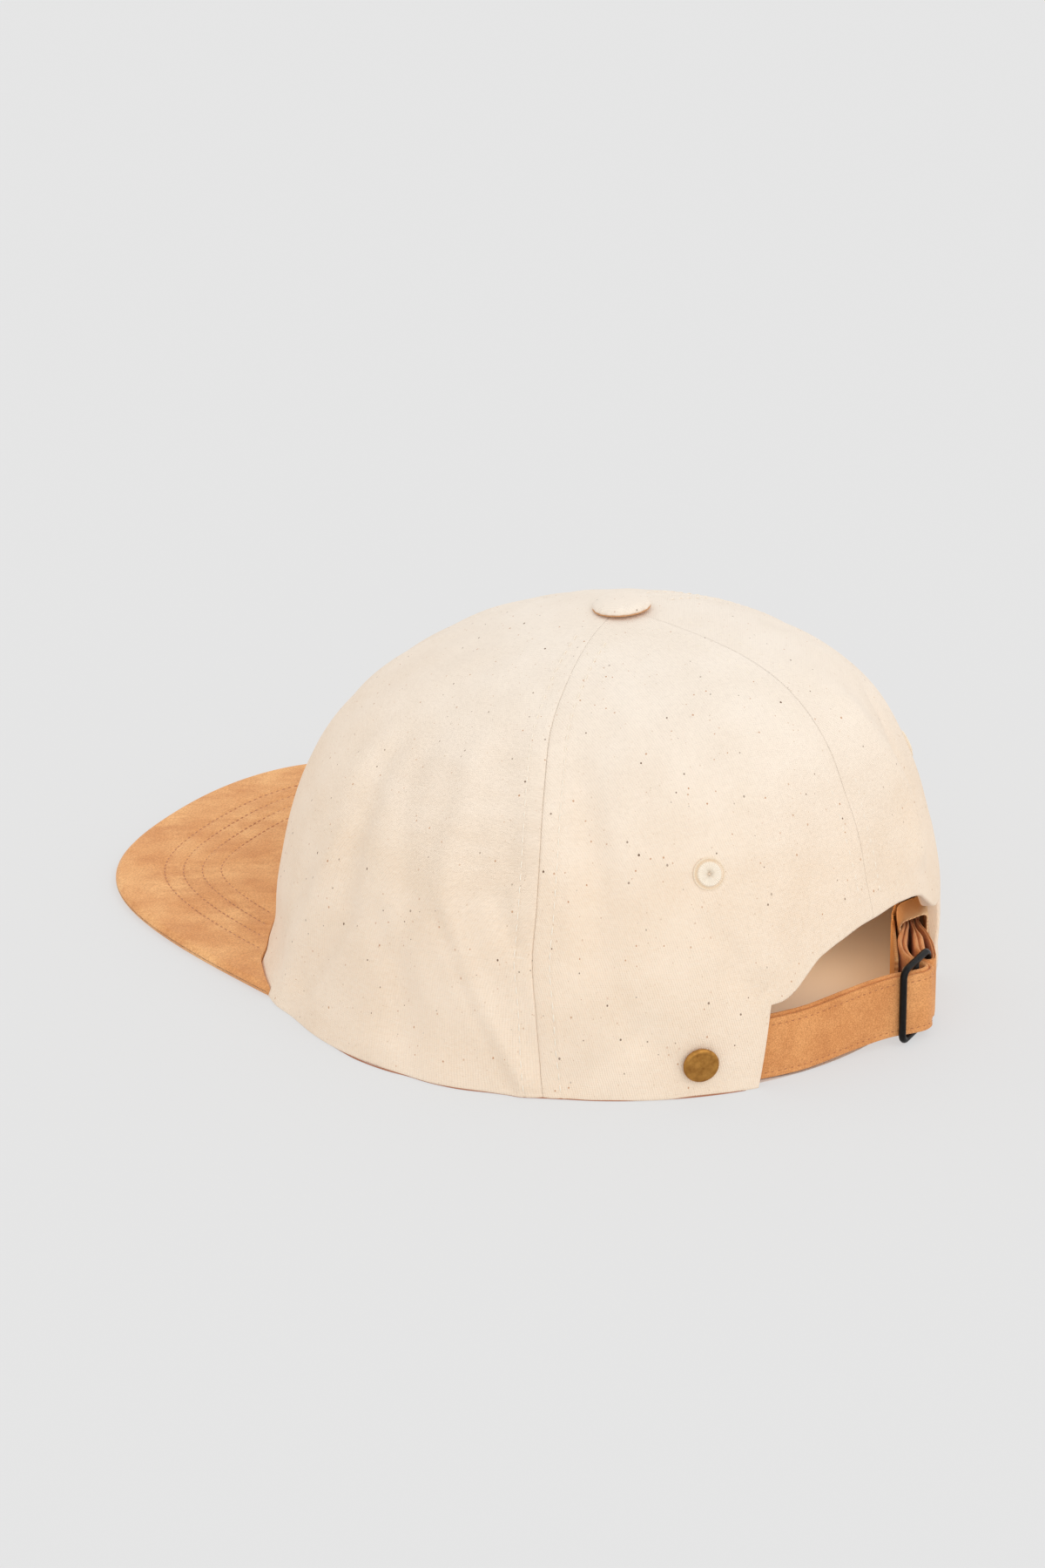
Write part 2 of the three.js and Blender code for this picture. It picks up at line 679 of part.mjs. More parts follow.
add('front_panel', panel((t) => rightSeamAt(t) - 360, leftSeamAt, frontBorder()), cotton);
add('left_back_panel', panel(leftSeamAt, backSeamAt, backBorder(leftSeam, -1, tabFoot.left)), cotton);
const rightBorder = backBorder(rightSeam, 1, tabFoot.right).reverse();
add('right_back_panel', panel(backSeamAt, rightSeamAt, rightBorder), cotton);
add('peak', peakGeometry(), suede);
add('sweatband', sweatbandGeometry(), twill);
add('strap', uprightBand(smoothRoute(strapRoute, strapSteps), strapThickness, strapWidth), suede);
add('strap_anchor', uprightBand(anchorRoute(), anchorThickness, anchorWidth), suede);
add('wire_slide', slideGeometry(), blackSteel);

const twillLoop = add('twill_loop', loopGeometry(), twill);
twillLoop.position.set(...loop.centre, 0);
twillLoop.rotation.z = radians(loop.heading - 90);

const topButton = add('top_button', turned(button, turnedSides), cotton);
topButton.rotation.x = Math.PI / 2;
topButton.position.set(0, 0, crownHeight + gap);

placeOnCrown(add('rivet_cap', turned(rivet, turnedSides), brass), rivet.angle, rivet.height, gap);
placeOnCrown(add('eyelet_left', turned(eyelet, turnedSides), cotton), eyelet.left, eyelet.height, gap);
placeOnCrown(add('eyelet_right', turned(eyelet, turnedSides), cotton), eyelet.right, eyelet.height, gap);

// The origin goes under the middle of the whole cap
const middle = new THREE.Box3().setFromObject(cap, true).getCenter(new THREE.Vector3());
cap.position.set(-middle.x, -middle.y, 0);

export default cap;
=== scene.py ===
# Looks of a soft three-panel cap with a suede peak and a strap closed by a wire slide.
# Shapes are worked out in millimetres round the crown's axis and placed in the frame in metres.

import math

import bpy
import numpy as np
from mathutils import Matrix, Vector


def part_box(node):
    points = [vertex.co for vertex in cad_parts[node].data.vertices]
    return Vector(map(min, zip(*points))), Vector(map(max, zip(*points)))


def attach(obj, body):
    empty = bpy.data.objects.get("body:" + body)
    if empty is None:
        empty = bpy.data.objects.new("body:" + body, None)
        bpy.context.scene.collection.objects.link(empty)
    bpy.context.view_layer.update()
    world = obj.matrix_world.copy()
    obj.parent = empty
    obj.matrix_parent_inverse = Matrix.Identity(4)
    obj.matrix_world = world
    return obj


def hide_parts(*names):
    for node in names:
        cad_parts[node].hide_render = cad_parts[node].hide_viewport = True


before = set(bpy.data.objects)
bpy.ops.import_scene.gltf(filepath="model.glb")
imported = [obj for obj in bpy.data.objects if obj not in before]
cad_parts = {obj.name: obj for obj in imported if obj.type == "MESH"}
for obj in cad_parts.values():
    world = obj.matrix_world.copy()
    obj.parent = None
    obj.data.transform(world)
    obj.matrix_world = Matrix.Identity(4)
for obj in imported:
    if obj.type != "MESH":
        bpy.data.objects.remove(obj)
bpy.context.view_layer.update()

MM = 0.001
button_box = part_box("top_button")
AXIS = np.array([(button_box[0][k] + button_box[1][k]) / 2 for k in range(2)] + [0.0])
UP = np.array([0, 0, 1.0])

# Crown, the same driving sizes as the CAD solids. The sections are at 0, 45, 90, 135 and 180 degrees
# from the front, each with radii and heights.
CROWN_HEIGHT = 103
WALL_HEIGHT = 30
CLOTH = 1.6
TOP_HOLE = 3
SECTIONS = {
    "rim": [95.5, 99, 94.5, 91, 91.5],
    "wall": [93.5, 93.5, 91.5, 89, 88],
    "shoulder": [84.5, 84.5, 80.5, 77, 76.5],
    "shoulder_height": [66.5, 65.5, 66.5, 70.5, 77],
    "brow": [40, 38.5, 40, 46.5, 55],
    "brow_height": [95, 93.5, 94.5, 98.5, 102],
}
LEFT_SEAM = 108.5
RIGHT_SEAM = 247
SEAM_SWEEP = [0, 0.85, 1.6, 2.7, 2.8, 3.8, 6.2, 10, 12.7, 16.2, 20.2]
BACK_SEAM = 173.5

# Rear opening: half of a symmetric arch as [offset in degrees, height], and the tabs' ends
OPENING_CENTRE = 175
ARCH = [[0, 35.4], [6, 35.4], [12, 33.8], [16, 31.6], [18.7, 28.4], [21.6, 24.9], [24.2, 23], [26.7, 22.6]]
TAB_TOP = ARCH[-1][0]
TAB_FOOT = {-1: 29.6, 1: 26.7}

# Folds of the cloth: paths of [angle, height], half width and depth, ridges positive
FOLDS = [
    {"path": [[56, 72], [62, 61], [65, 47], [65.5, 35], [61, 20], [57, 12]], "width": 5, "depth": -1.8},
    {"path": [[50, 72], [56, 58], [58.5, 44], [57, 30], [52, 18]], "width": 6, "depth": 0.6},
    {"path": [[74.5, 38], [80, 28], [84, 18], [85, 4]], "width": 5, "depth": -1},
    {
        "path": [[81, 79], [85.5, 71], [86.3, 60], [88, 47], [91, 38], [97, 23], [104.5, 4]],
        "width": 4.5, "depth": 1.6,
    },
    {"path": [[87, 45], [90, 39], [96, 23], [103, 3]], "width": 2.2, "depth": -1.1},
    {"path": [[98, 52], [100, 47], [102, 42]], "width": 3, "depth": -1.1},
    {"path": [[106.5, 82], [114, 72], [117, 60], [117, 40]], "width": 6, "depth": -1.5},
    {"path": [[113, 5], [119.5, 12], [126, 20]], "width": 4, "depth": -0.9},
    {"path": [[137, 46], [143, 37]], "width": 3, "depth": -0.8},
    {"path": [[141, 33], [146.5, 27.5]], "width": 4, "depth": -1},
    {"path": [[20, 12], [42, 11]], "width": 9, "depth": -1.7},
    {"path": [[40, 0], [52, 0]], "width": 6, "depth": 1.9},
    {"path": [[76, 3], [93, 0]], "width": 9, "depth": 1.3},
    {"path": [[201, 0], [226, 2]], "width": 16, "depth": -3.4},
    {"path": [[187, 84], [191, 72], [195, 58], [194, 44]], "width": 5, "depth": 2},
    {"path": [[204, 80], [198.5, 70], [199, 58], [197, 46]], "width": 3.5, "depth": -1.2},
    {"path": [[235, 82], [226, 66], [222, 46]], "width": 8, "depth": -1.8},
    {"path": [[262, 76], [268, 52], [263, 28], [255, 4]], "width": 6, "depth": -2},
    {"path": [[272, 60], [276, 36], [270, 12]], "width": 6, "depth": 1.5},
    {"path": [[305, 70], [297, 50], [300, 26], [309, 6]], "width": 6, "depth": -1.8},
]

# Lighter creases that the CAD solids leave out, in the same form
CREASES = [
    {"path": [[60, 62], [59, 50], [57.5, 35], [55, 22], [52.8, 8]], "width": 3.4, "depth": 0.8},
    {"path": [[68, 38], [65.5, 28], [61.5, 18], [59.5, 10]], "width": 3, "depth": -0.8},
    {"path": [[52, 40], [50, 28.6], [47.5, 16], [47, 9]], "width": 2.4, "depth": -0.6},
    {"path": [[66, 76], [74, 62], [79, 50], [81, 38], [81.5, 25], [81, 12]], "width": 4.2, "depth": -0.9},
    {"path": [[91, 80], [96.5, 70], [99.5, 60]], "width": 3, "depth": -0.5},
    {"path": [[108.8, 80], [111, 66], [111.6, 50], [111, 34]], "width": 1.8, "depth": 0.3},
    {"path": [[104, 30], [105.5, 20], [107, 10]], "width": 2, "depth": -0.4},
    {"path": [[110, 84], [114.5, 73], [117, 60], [117, 46]], "width": 4, "depth": -0.8},
    {"path": [[121, 30], [124, 18], [131, 10]], "width": 3, "depth": -0.5},
    {"path": [[163, 78], [168, 64], [174, 46]], "width": 3.2, "depth": -0.5},
    {"path": [[172, 76], [177, 62], [181, 48]], "width": 2.6, "depth": -0.45},
]

# Seams and edges of the cloth, in millimetres
SEAM_GAP = 0.06
SEAM_GROOVE = {"depth": 0.2, "width": 0.28, "at_rim": 0.3, "at_top": 0.45}
SEAM_ALLOWANCE = {"rise": 0.24, "from": 1.2, "width": 6.2, "edge": 2.2}
SEAM_CALM = [12, 60]
STITCH_OFFSET = 4.8
STITCH_DIMPLE = {"depth": 0.2, "width": 0.5}
PUCKER = {"depth": 0.11, "length": 2.615, "reach": 5.5}
SEAM_STRENGTH = {"left": 1.0, "right": 1.0, "right_low": 1.0, "back": 0.12}
EDGE_ROUND = 0.75
ABOVE_FLOOR = 0.02
# Painted shadow along the foot of the front panel's rim: a thin dark tube, with its angles, inset, height
# and radius
PAINTED_RIM_SHADOW = {"from": 64, "to": 143, "inset": 0.32, "height": 0.2, "radius": 0.2}
TAB_HEM = {"extra": 2.2, "near": 3, "far": 12, "low": 6, "high": 18}
HEM = {"from_edge": 5, "depth": 0.14, "width": 0.6, "rise": 0.16}

# Grid of the panels: millimetres beside a seam, shares of the way up at the rim, counts and spacings
SEAM_SIDE = [0, 0.2, 0.45, 0.8, 1.3, 2.0, 2.9, 3.7, 4.2, 4.5, 4.8, 5.1, 5.4, 5.9, 6.6, 7.5, 8.6]
RIM_SIDE = [0, 0.0015, 0.0035, 0.006, 0.009, 0.014]
PANEL_GRID = {"rows": 104, "front": 1.6, "rim": 1.5, "arch": 1.3, "tab_steps": 16}
PANEL_RADIUS = {"front": 95, "back": 91}

# Stitches in millimetres, and where the seams' rows run, as shares of the way up
THREADS = {
    "seam": {"length": 2.6, "gap": 0.8, "radius": 0.22, "rise": 0.12},
    "peak": {"length": 1.5, "gap": 0.6, "radius": 0.15, "rise": 0.08},
    "strap": {"length": 1.35, "gap": 0.55, "radius": 0.14, "rise": 0.08},
}
SEAM_ROWS = {"low": 0.012, "low_back": 0.3, "high": 0.93, "to_radius": 14, "lift": 0.03, "lift_back": -0.14}

# Peak
PEAK_THICKNESS = 3.4
PEAK_SEWN_IN = 0.6
PEAK_EDGE = 1.5
PEAK_CORNER_ANGLE = 50
PEAK_CORNER_WIDTH = 1.9
PEAK_TIP = 151.9
PEAK_CORNER_PULL = {"left": [59.4, -133.2], "right": [72, -134.3]}
PEAK_TIP_PULL = {"left": 46.8, "right": 44.4}
PEAK_TURN = -0.76
PEAK_ROWS = {"first": 13.8, "spacing": 5.3, "count": 4, "onward": 40, "slack": 0.3}
PEAK_GROOVE = {"depth": 0.18, "width": 0.6}
PEAK_WELT = {"from_edge": 0.5, "depth": 0.3, "width": 0.22}
PEAK_GRID = {"columns": 190, "rows": 96, "near_edge": [0, 0.04, 0.15, 0.35, 0.6, 0.9, 1.2, 1.5]}

# Weave and flecks of the cotton, and the heights between which its grain turns over the top
TWILL = {"rib": 0.64, "yarn": 0.5, "lean": 0.24}
CLOTH_OVER_TOP = [45, 101]
FLECKS = [
    {
        "cell": 3.5, "radius": 0.24, "share": 0.85, "stretch": 0.75,
        "strength": (0.35, 0.95), "colour": (96, 62, 36),
    },
    {
        "cell": 2.7, "radius": 0.22, "share": 0.9, "stretch": 0.75,
        "strength": (0.25, 0.8), "colour": (184, 122, 70),
    },
    {
        "cell": 1.6, "radius": 0.18, "share": 0.7, "stretch": 0.8,
        "strength": (0.15, 0.4), "colour": (190, 150, 112),
    },
]

# Small parts, and the rivet's top from its rim to its middle as [share of radius, depth below the rise]
BUTTON = {
    "radius": 7.9, "lip": 0.6, "rise": 3.2, "tilt": 4.8, "lean_back": 5, "height": 103.25,
    "gather": 0.07, "gathers": 17, "uneven": 0.08,
}
RIVET = {"angle": 135, "height": 9.5, "radius": 4.9, "edge": 1.1, "rise": 1.3, "lift": 0.55, "tip": 6}
RIVET_TOP = [[0.72, 0.34], [0.66, 0.26], [0.5, 0.14], [0.25, 0.03], [0, 0]]
EYELET = {"angles": [138.5, 218], "height": 59.5, "radius": 4.4, "rise": 0.6, "ring": 0.78}

# Strap and the layers that meet it, as plan points [x, y, height of the lower edge]
STRAP_WIDTH = 18.2
STRAP_PLUMP = {"free": 2.6, "pinched": 1.8, "ease": [-20, -14]}
STRAP_DROP = 0.55
STRAP_SEWN = {"low": 1.7, "high": 2.5, "from_x": -1, "sunk": 0.2}
STRAP_ROUTE = [
    [60.6, 60, 0.1], [53.6, 66.1, 0.1], [46.6, 71.8, 0.1], [41, 76.2, 0.4], [34.6, 80.4, 0.9],
    [22.6, 86, 2], [15.6, 89.3, 2.5], [10.4, 92, 2.6], [6.6, 94.9, 2.6], [2.8, 97.3, 2.6],
    [-0.1, 97.3, 2.6], [-1.4, 95, 2.6], [-1.8, 91.6, 2.6], [-4.8, 87.4, 2.4], [-11, 82.9, 1.8],
    [-17.6, 79.8, 1.3], [-22.3, 77.7, 1.1], [-26.4, 75.2, 1.1], [-33.2, 71.6, 1.1],
]
ANCHOR_WIDTH = 17.6
ANCHOR_THICKNESS = 1.0
ANCHOR_PLUMP = {"full": 2.9, "from": [-22, -17], "to": [-10.5, -6.5]}
ANCHOR_OUTER_LEG = [[-8, 94.6], [-15.4, 89.6], [-20.8, 85], [-24.5, 80.8], [-28.2, 77.9], [-36.3, 73.7]]
ANCHOR_INNER_LEG = [[-6.9, 91.4], [-10.4, 88.7], [-17.6, 84], [-23.5, 79.3], [-27.2, 76.7], [-35.6, 72.4]]
ANCHOR_LOW = {"at_slide": 2.6, "at_tab": 1.1, "tab_x": -22}
ANCHOR_TURN = {"start": 125, "sweep": 205, "steps": 14}
WIRE = 2.0
WIRE_CLEARANCE = 0.25
SLIDE_NEAR = [10.2, 95.2]
SLIDE_FAR = [-5.2, 94]
SLIDE_BOTTOM = 0.4
SLIDE_TOP = 23.4
SLIDE_CORNER = 2.2
LOOP = {
    "centre": [-25.2, 78.1], "heading": 33, "slant": 0.8, "along": 11.6, "inside": 7.2,
    "tape": 0.7, "corner": 1.6, "low": 0.2, "high": 22.7,
}
BAND = {"low": 0.6, "high": 28, "tail_high": 19.5, "thickness": 1, "depth": 4.2, "columns": 220}
BAND_LEFT = {"end": 144, "extra": 3.2, "ease": [15, 26]}
BAND_RIGHT = {"end": 199, "extra": 10.2, "ease": [12, 34]}
BAND_TAIL = [[-0.6, 87], [-4, 84.9], [-9.9, 81.2], [-16, 77.4], [-20.3, 74.7]]

# Camera, in millimetres round the crown's axis. The pixels are of the 1200 x 1800 picture.
CAMERA_AZIMUTH = 122
CAMERA_ELEVATION = 25
CAMERA_DISTANCE = 2000
FOCAL_PIXELS = 8300
PICTURE = [1200, 1800]
SENSOR = 36
TOP_PIXEL = [714, 698]

# Studio: a pale room, brighter low down, a key from behind the wearer and a weak fill from the viewer's
# side. The floor shows pale grey.
ROOM = {"horizon": 1.11, "zenith": 0.87}
SUNS = [
    {"name": "key", "azimuth": 172, "elevation": 46, "strength": 0.41, "spread": 34},
    {"name": "fill", "azimuth": 132, "elevation": 20, "strength": 0.22, "spread": 40},
]
FLOOR = {"grey": 130, "glow": 0.5495, "inside": 88, "outside": 6000, "level": -0.05}
BOUNCES = [
    {"name": "bounce", "place": [5, 45, 40], "radius": 12, "power": 0.0085, "colour": (1.0, 0.59, 0.28)},
    {"name": "tab_bounce", "place": [-15, 58, 24], "radius": 6, "power": 0.011, "colour": (1, 0.72, 0.46)},
]


# Crown surface

def around(size):
    """Smooth even interpolation of one size of the section table round the crown."""
    values = np.array(SECTIONS[size], float)
    last = len(values) - 1
    order = np.arange(last + 1)
    share = np.where(order % last == 0, 0.5, 1)
    waves = 2 / last * share * (np.cos(np.pi * np.outer(order, order) / last) @ (share * values))
    return lambda angle: sum(w * np.cos(k * np.radians(angle)) for k, w in enumerate(waves))


SIZE_AT = {name: around(name) for name in SECTIONS}


def spline(values, t):
    """Uniform cubic B-spline over a list of control arrays."""
    spans = len(values) - 3
    place = np.clip(t, 0, 1) * spans
    span = np.minimum(np.floor(place), spans - 1).astype(int)
    u = place - span
    weights = [(1 - u) ** 3, 3 * u**3 - 6 * u**2 + 4, -3 * u**3 + 3 * u**2 + 3 * u + 1, u**3]
    stack = np.stack([np.broadcast_to(v, u.shape) for v in values])
    picked = [np.take_along_axis(stack, (span + k)[None], 0)[0] for k in range(4)]
    return sum(weight * value for weight, value in zip(weights, picked)) / 6


def profile(angle, t):
    """Radius and height of the smooth crown at an angle in degrees and a share t of the way up."""
    angle, t = np.broadcast_arrays(np.asarray(angle, float), np.asarray(t, float))
    at = {name: size(angle) for name, size in SIZE_AT.items()}
    rim, wall, brow, flat = at["rim"], at["wall"], at["brow"], 0 * angle
    top_control = (6 * CROWN_HEIGHT - 2 * at["brow_height"]) / 4
    radii = [2 * rim - wall, rim, wall, at["shoulder"], brow, flat, -brow]
    heights = [flat - WALL_HEIGHT, flat, flat + WALL_HEIGHT, at["shoulder_height"], at["brow_height"]]
    return spline(radii, t), spline([*heights, top_control, at["brow_height"]], t)


def smooth_point(angle, t):
    radius, height = profile(angle, t)
    a = np.radians(angle)
    return np.stack([radius * np.sin(a), -radius * np.cos(a), height], -1)


def smoothstep(value, low, high):
    share = np.clip((value - low) / (high - low), 0, 1)
    return share * share * (3 - 2 * share)


def blend(start, end, share):
    return start + (end - start) * share


def bell(away, width):
    """1 at no distance, falling softly to nothing at about twice the width."""
    return np.exp(-((away / width) ** 2))


def unit(vectors):
    return vectors / np.maximum(np.linalg.norm(vectors, axis=-1, keepdims=True), 1e-9)


def normal_of(surface, angle, t, angle_step=0.5, t_step=0.004):
    highest = 0.986
    place = np.minimum(t, highest)
    across = surface(angle + angle_step, place) - surface(angle - angle_step, place)
    up = surface(angle, place + t_step) - surface(angle, np.maximum(place - t_step, 0))
    return unit(np.cross(across, up))


def nearest_on(route, points, scale=1.0):
    """Distance from points to a route of straight pieces, each axis stretched by its scale."""
    route = np.asarray(route, float)
    nearest = np.full(points.shape[:-1], np.inf)
    for a, b in zip(route[:-1], route[1:]):
        along, start = (b - a) * scale, (points - a) * scale
        share = np.clip((start * along).sum(-1) / (along * along).sum(-1), 0, 1)
        nearest = np.minimum(nearest, np.linalg.norm(start - share[..., None] * along, axis=-1))
    return nearest


def fold_depth(angle, t):
    radius, height = profile(angle, t)
    places = np.stack([np.mod(angle, 360), height], -1)
    per_degree = np.stack([np.radians(1) * radius, 0 * radius + 1], -1)
    depth = 0 * radius
    for fold in FOLDS + CREASES:
        depth += fold["depth"] * bell(nearest_on(fold["path"], places, per_degree), fold["width"])
    return depth


def crown_point(angle, t):
    angle, t = np.broadcast_arrays(np.asarray(angle, float), np.asarray(t, float))
    return smooth_point(angle, t) + normal_of(smooth_point, angle, t) * fold_depth(angle, t)[..., None]


def crown_normal(angle, t):
    return normal_of(crown_point, np.asarray(angle, float), np.asarray(t, float))


def turning_t(is_below, shape=()):
    """The t at which a test stops being true, found by halving from 0 to 1."""
    low, high = np.zeros(shape), np.ones(shape)
    for _ in range(30):
        middle = (low + high) / 2
        below = is_below(middle)
        low, high = np.where(below, middle, low), np.where(below, high, middle)
    return (low + high) / 2


def height_to_t(angle, height):
    return turning_t(lambda t: profile(angle, t)[1] < height, np.shape(angle))


def catmull_rom(a, b, c, d, u):
    """Smooth curve from b to c at shares u, with a before them and d after."""
    bend, twist = 2 * a - 5 * b + 4 * c - d, 3 * b - a - 3 * c + d
    return 0.5 * (2 * b + (c - a) * u + bend * u**2 + twist * u**3)


def seam_sweep(t):
    """Smooth curve through the side seam's table of sweeps."""
    table = np.array(SEAM_SWEEP, float)
    last = len(table) - 1
    place = np.clip(np.asarray(t, float), 0, 1) * last
    k = np.minimum(np.floor(place), last - 1).astype(int)
    return catmull_rom(*(table[np.clip(k + step, 0, last)] for step in (-1, 0, 1, 2)), place - k)


TOP_T = float(turning_t(lambda t: profile(0, t)[0] > TOP_HOLE))
SEAMS = {
    "left": lambda t: LEFT_SEAM - seam_sweep(t),
    "right": lambda t: RIGHT_SEAM + seam_sweep(t),
    "right_low": lambda t: RIGHT_SEAM - 360 + seam_sweep(t),
    "back": lambda t: BACK_SEAM + 0 * np.asarray(t, float),
}


# Routes

def run_lengths(route):
    """Length along a route from its start to each of its points."""
    return np.concatenate([[0], np.cumsum(np.linalg.norm(np.diff(route, axis=0), axis=1))])


def sample(rows, places, at):
    """Rows of numbers that are known at places, read off at others."""
    return np.stack([np.interp(at, places, column) for column in np.transpose(rows)], 1)


def smooth_route(points, steps):
    """A Catmull-Rom curve through points, with the ends drawn on, at even parameter steps."""
    p = np.array(points, float)
    p = np.vstack([2 * p[0] - p[1], p, 2 * p[-1] - p[-2]])
    spans = len(p) - 3
    place = np.linspace(0, spans, steps + 1)
    k = np.minimum(place.astype(int), spans - 1)
    return catmull_rom(p[k], p[k + 1], p[k + 2], p[k + 3], (place - k)[:, None])


def even_route(points, spacing):
    """The points of a route at an even spacing, ends included."""
    lengths = run_lengths(points)
    count = max(int(round(lengths[-1] / spacing)), 1)
    return sample(points, lengths, np.linspace(0, lengths[-1], count + 1))


def beside(route):
    """Level unit directions to the right of a route."""
    run = np.gradient(route[:, :2], axis=0)
    return unit(np.stack([run[:, 1], -run[:, 0]], 1))


def rounded_ring(left, right, low, high, corner, steps):
    """Rows [x, z, outward x, outward z] round an upright rectangle with round corners."""
    x, z = (left + corner, right - corner), (low + corner, high - corner)
    ring = []
    for quarter, (cx, cz) in enumerate(((x[1], z[0]), (x[1], z[1]), (x[0], z[1]), (x[0], z[0]))):
        for k in range(steps + 1):
            a = math.pi / 2 * (quarter - 1 + k / steps)
            ring.append([cx + corner * math.cos(a), cz + corner * math.sin(a), math.cos(a), math.sin(a)])
    return np.array(ring)


# Meshes

def link_object(name, data):
    thing = bpy.data.objects.new(name, data)
    bpy.context.scene.collection.objects.link(thing)
    return thing


def new_object(name, points, faces, material, cloth=None, smooth=True):
    """A mesh object from points in millimetres round the crown's axis. cloth is a place on its grain."""
    mesh = bpy.data.meshes.new(name)
    placed = np.asarray(points) * MM + AXIS
    mesh.from_pydata(placed.tolist(), [], [list(map(int, face)) for face in faces])
    mesh.validate()
    mesh.polygons.foreach_set("use_smooth", [smooth] * len(mesh.polygons))
    if cloth is not None:
        attribute = mesh.attributes.new("cloth", "FLOAT_VECTOR", "POINT")
        attribute.data.foreach_set("vector", np.asarray(cloth, np.float32).ravel())
    mesh.materials.append(material)
    mesh.update()
    return link_object(name, mesh)


def make_piece(name, shape, material, cloth=None, extra=False):
    """A piece of a shape, its points and faces. It replaces the solid of its name, unless it is extra."""
    piece = new_object(name, *shape, material, cloth)
    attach(piece, "root")
    if not extra:
        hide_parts(name)
    return piece


def grid_faces(columns, rows, start=0, flip=False, closed=False, ringed=False):
    """Faces of a grid [column][row]. closed joins its last column to the first, ringed its last row."""
    faces = []
    for i in range(columns if closed else columns - 1):
        here, there = start + i * rows, start + (i + 1) % columns * rows
        for j in range(rows if ringed else rows - 1):
            up = (j + 1) % rows
            quad = [here + j, there + j, there + up, here + up]
            faces.append(quad[::-1] if flip else quad)
    return faces


def closed_shell(outer, inner, closed=False):
    """Points and faces of the solid between two grids [column][row][xyz], which may be closed rings."""
    columns, rows = outer.shape[:2]
    size = columns * rows
    faces = grid_faces(columns, rows, closed=closed)
    faces += grid_faces(columns, rows, size, flip=True, closed=closed)
    index = np.arange(size).reshape(columns, rows)
    if closed:
        borders = [np.append(index[:, 0], index[0, 0]), np.append(index[:, -1], index[0, -1])[::-1]]
    else:
        borders = [np.concatenate([index[:, 0], index[-1, 1:], index[-2::-1, -1], index[0, -2::-1]])]
    for border in borders:
        faces += [[size + a, size + b, b, a] for a, b in zip(border[:-1], border[1:])]
    return np.concatenate([outer.reshape(-1, 3), inner.reshape(-1, 3)]), faces


def swept(sections, closed=False):
    """Points and faces of a solid through rings [ring][point][xyz], closed or with flat ends."""
    rings, count = sections.shape[:2]
    faces = grid_faces(rings, count, flip=True, closed=closed, ringed=True)
    if not closed:
        faces += [list(range(count))[::-1], list(range((rings - 1) * count, rings * count))]
    return sections.reshape(-1, 3), faces


def joined(shapes):
    """One shape from several, each of points and faces."""
    points, faces = [], []
    for more, more_faces in shapes:
        faces += [[corner + len(points) for corner in face] for face in more_faces]
        points += more.tolist()
    return points, faces


def round_bar(route, radius, first, second, sides, closed=False):
    """A round bar along a route, from two crosswise directions at each of its points."""
    turns = 2 * np.pi * np.arange(sides) / sides
    lines = [route + radius * (first * math.cos(a) + second * math.sin(a)) for a in turns]
    return swept(np.stack(lines, 1), closed)


def level_ring(radius, height, segments):
    turn = 2 * np.pi * np.arange(segments) / segments
    return np.stack([radius * np.cos(turn), radius * np.sin(turn), 0 * turn + height], 1)


def turned(rows, segments):
    """Points and faces of a turned solid from [radius, height] rows that start and end on the axis."""
    rings = [level_ring(r, h, segments) for r, h in rows[1:-1]]
    points = np.concatenate([[[0, 0, rows[0][1]]], *rings, [[0, 0, rows[-1][1]]]])
    faces = grid_faces(len(rings), segments, start=1, flip=True, ringed=True)
    top = len(points) - 1
    for k in range(segments):
        n = (k + 1) % segments
        faces += [[0, 1 + n, 1 + k], [top - segments + k, top - segments + n, top]]
    return points, faces


# Node materials

def linear(*srgb):
    """A linear colour from sRGB values of 0 to 255."""
    shares = [value / 255 for value in srgb]
    return (*(s / 12.92 if s <= 0.04045 else ((s + 0.055) / 1.055) ** 2.4 for s in shares), 1.0)


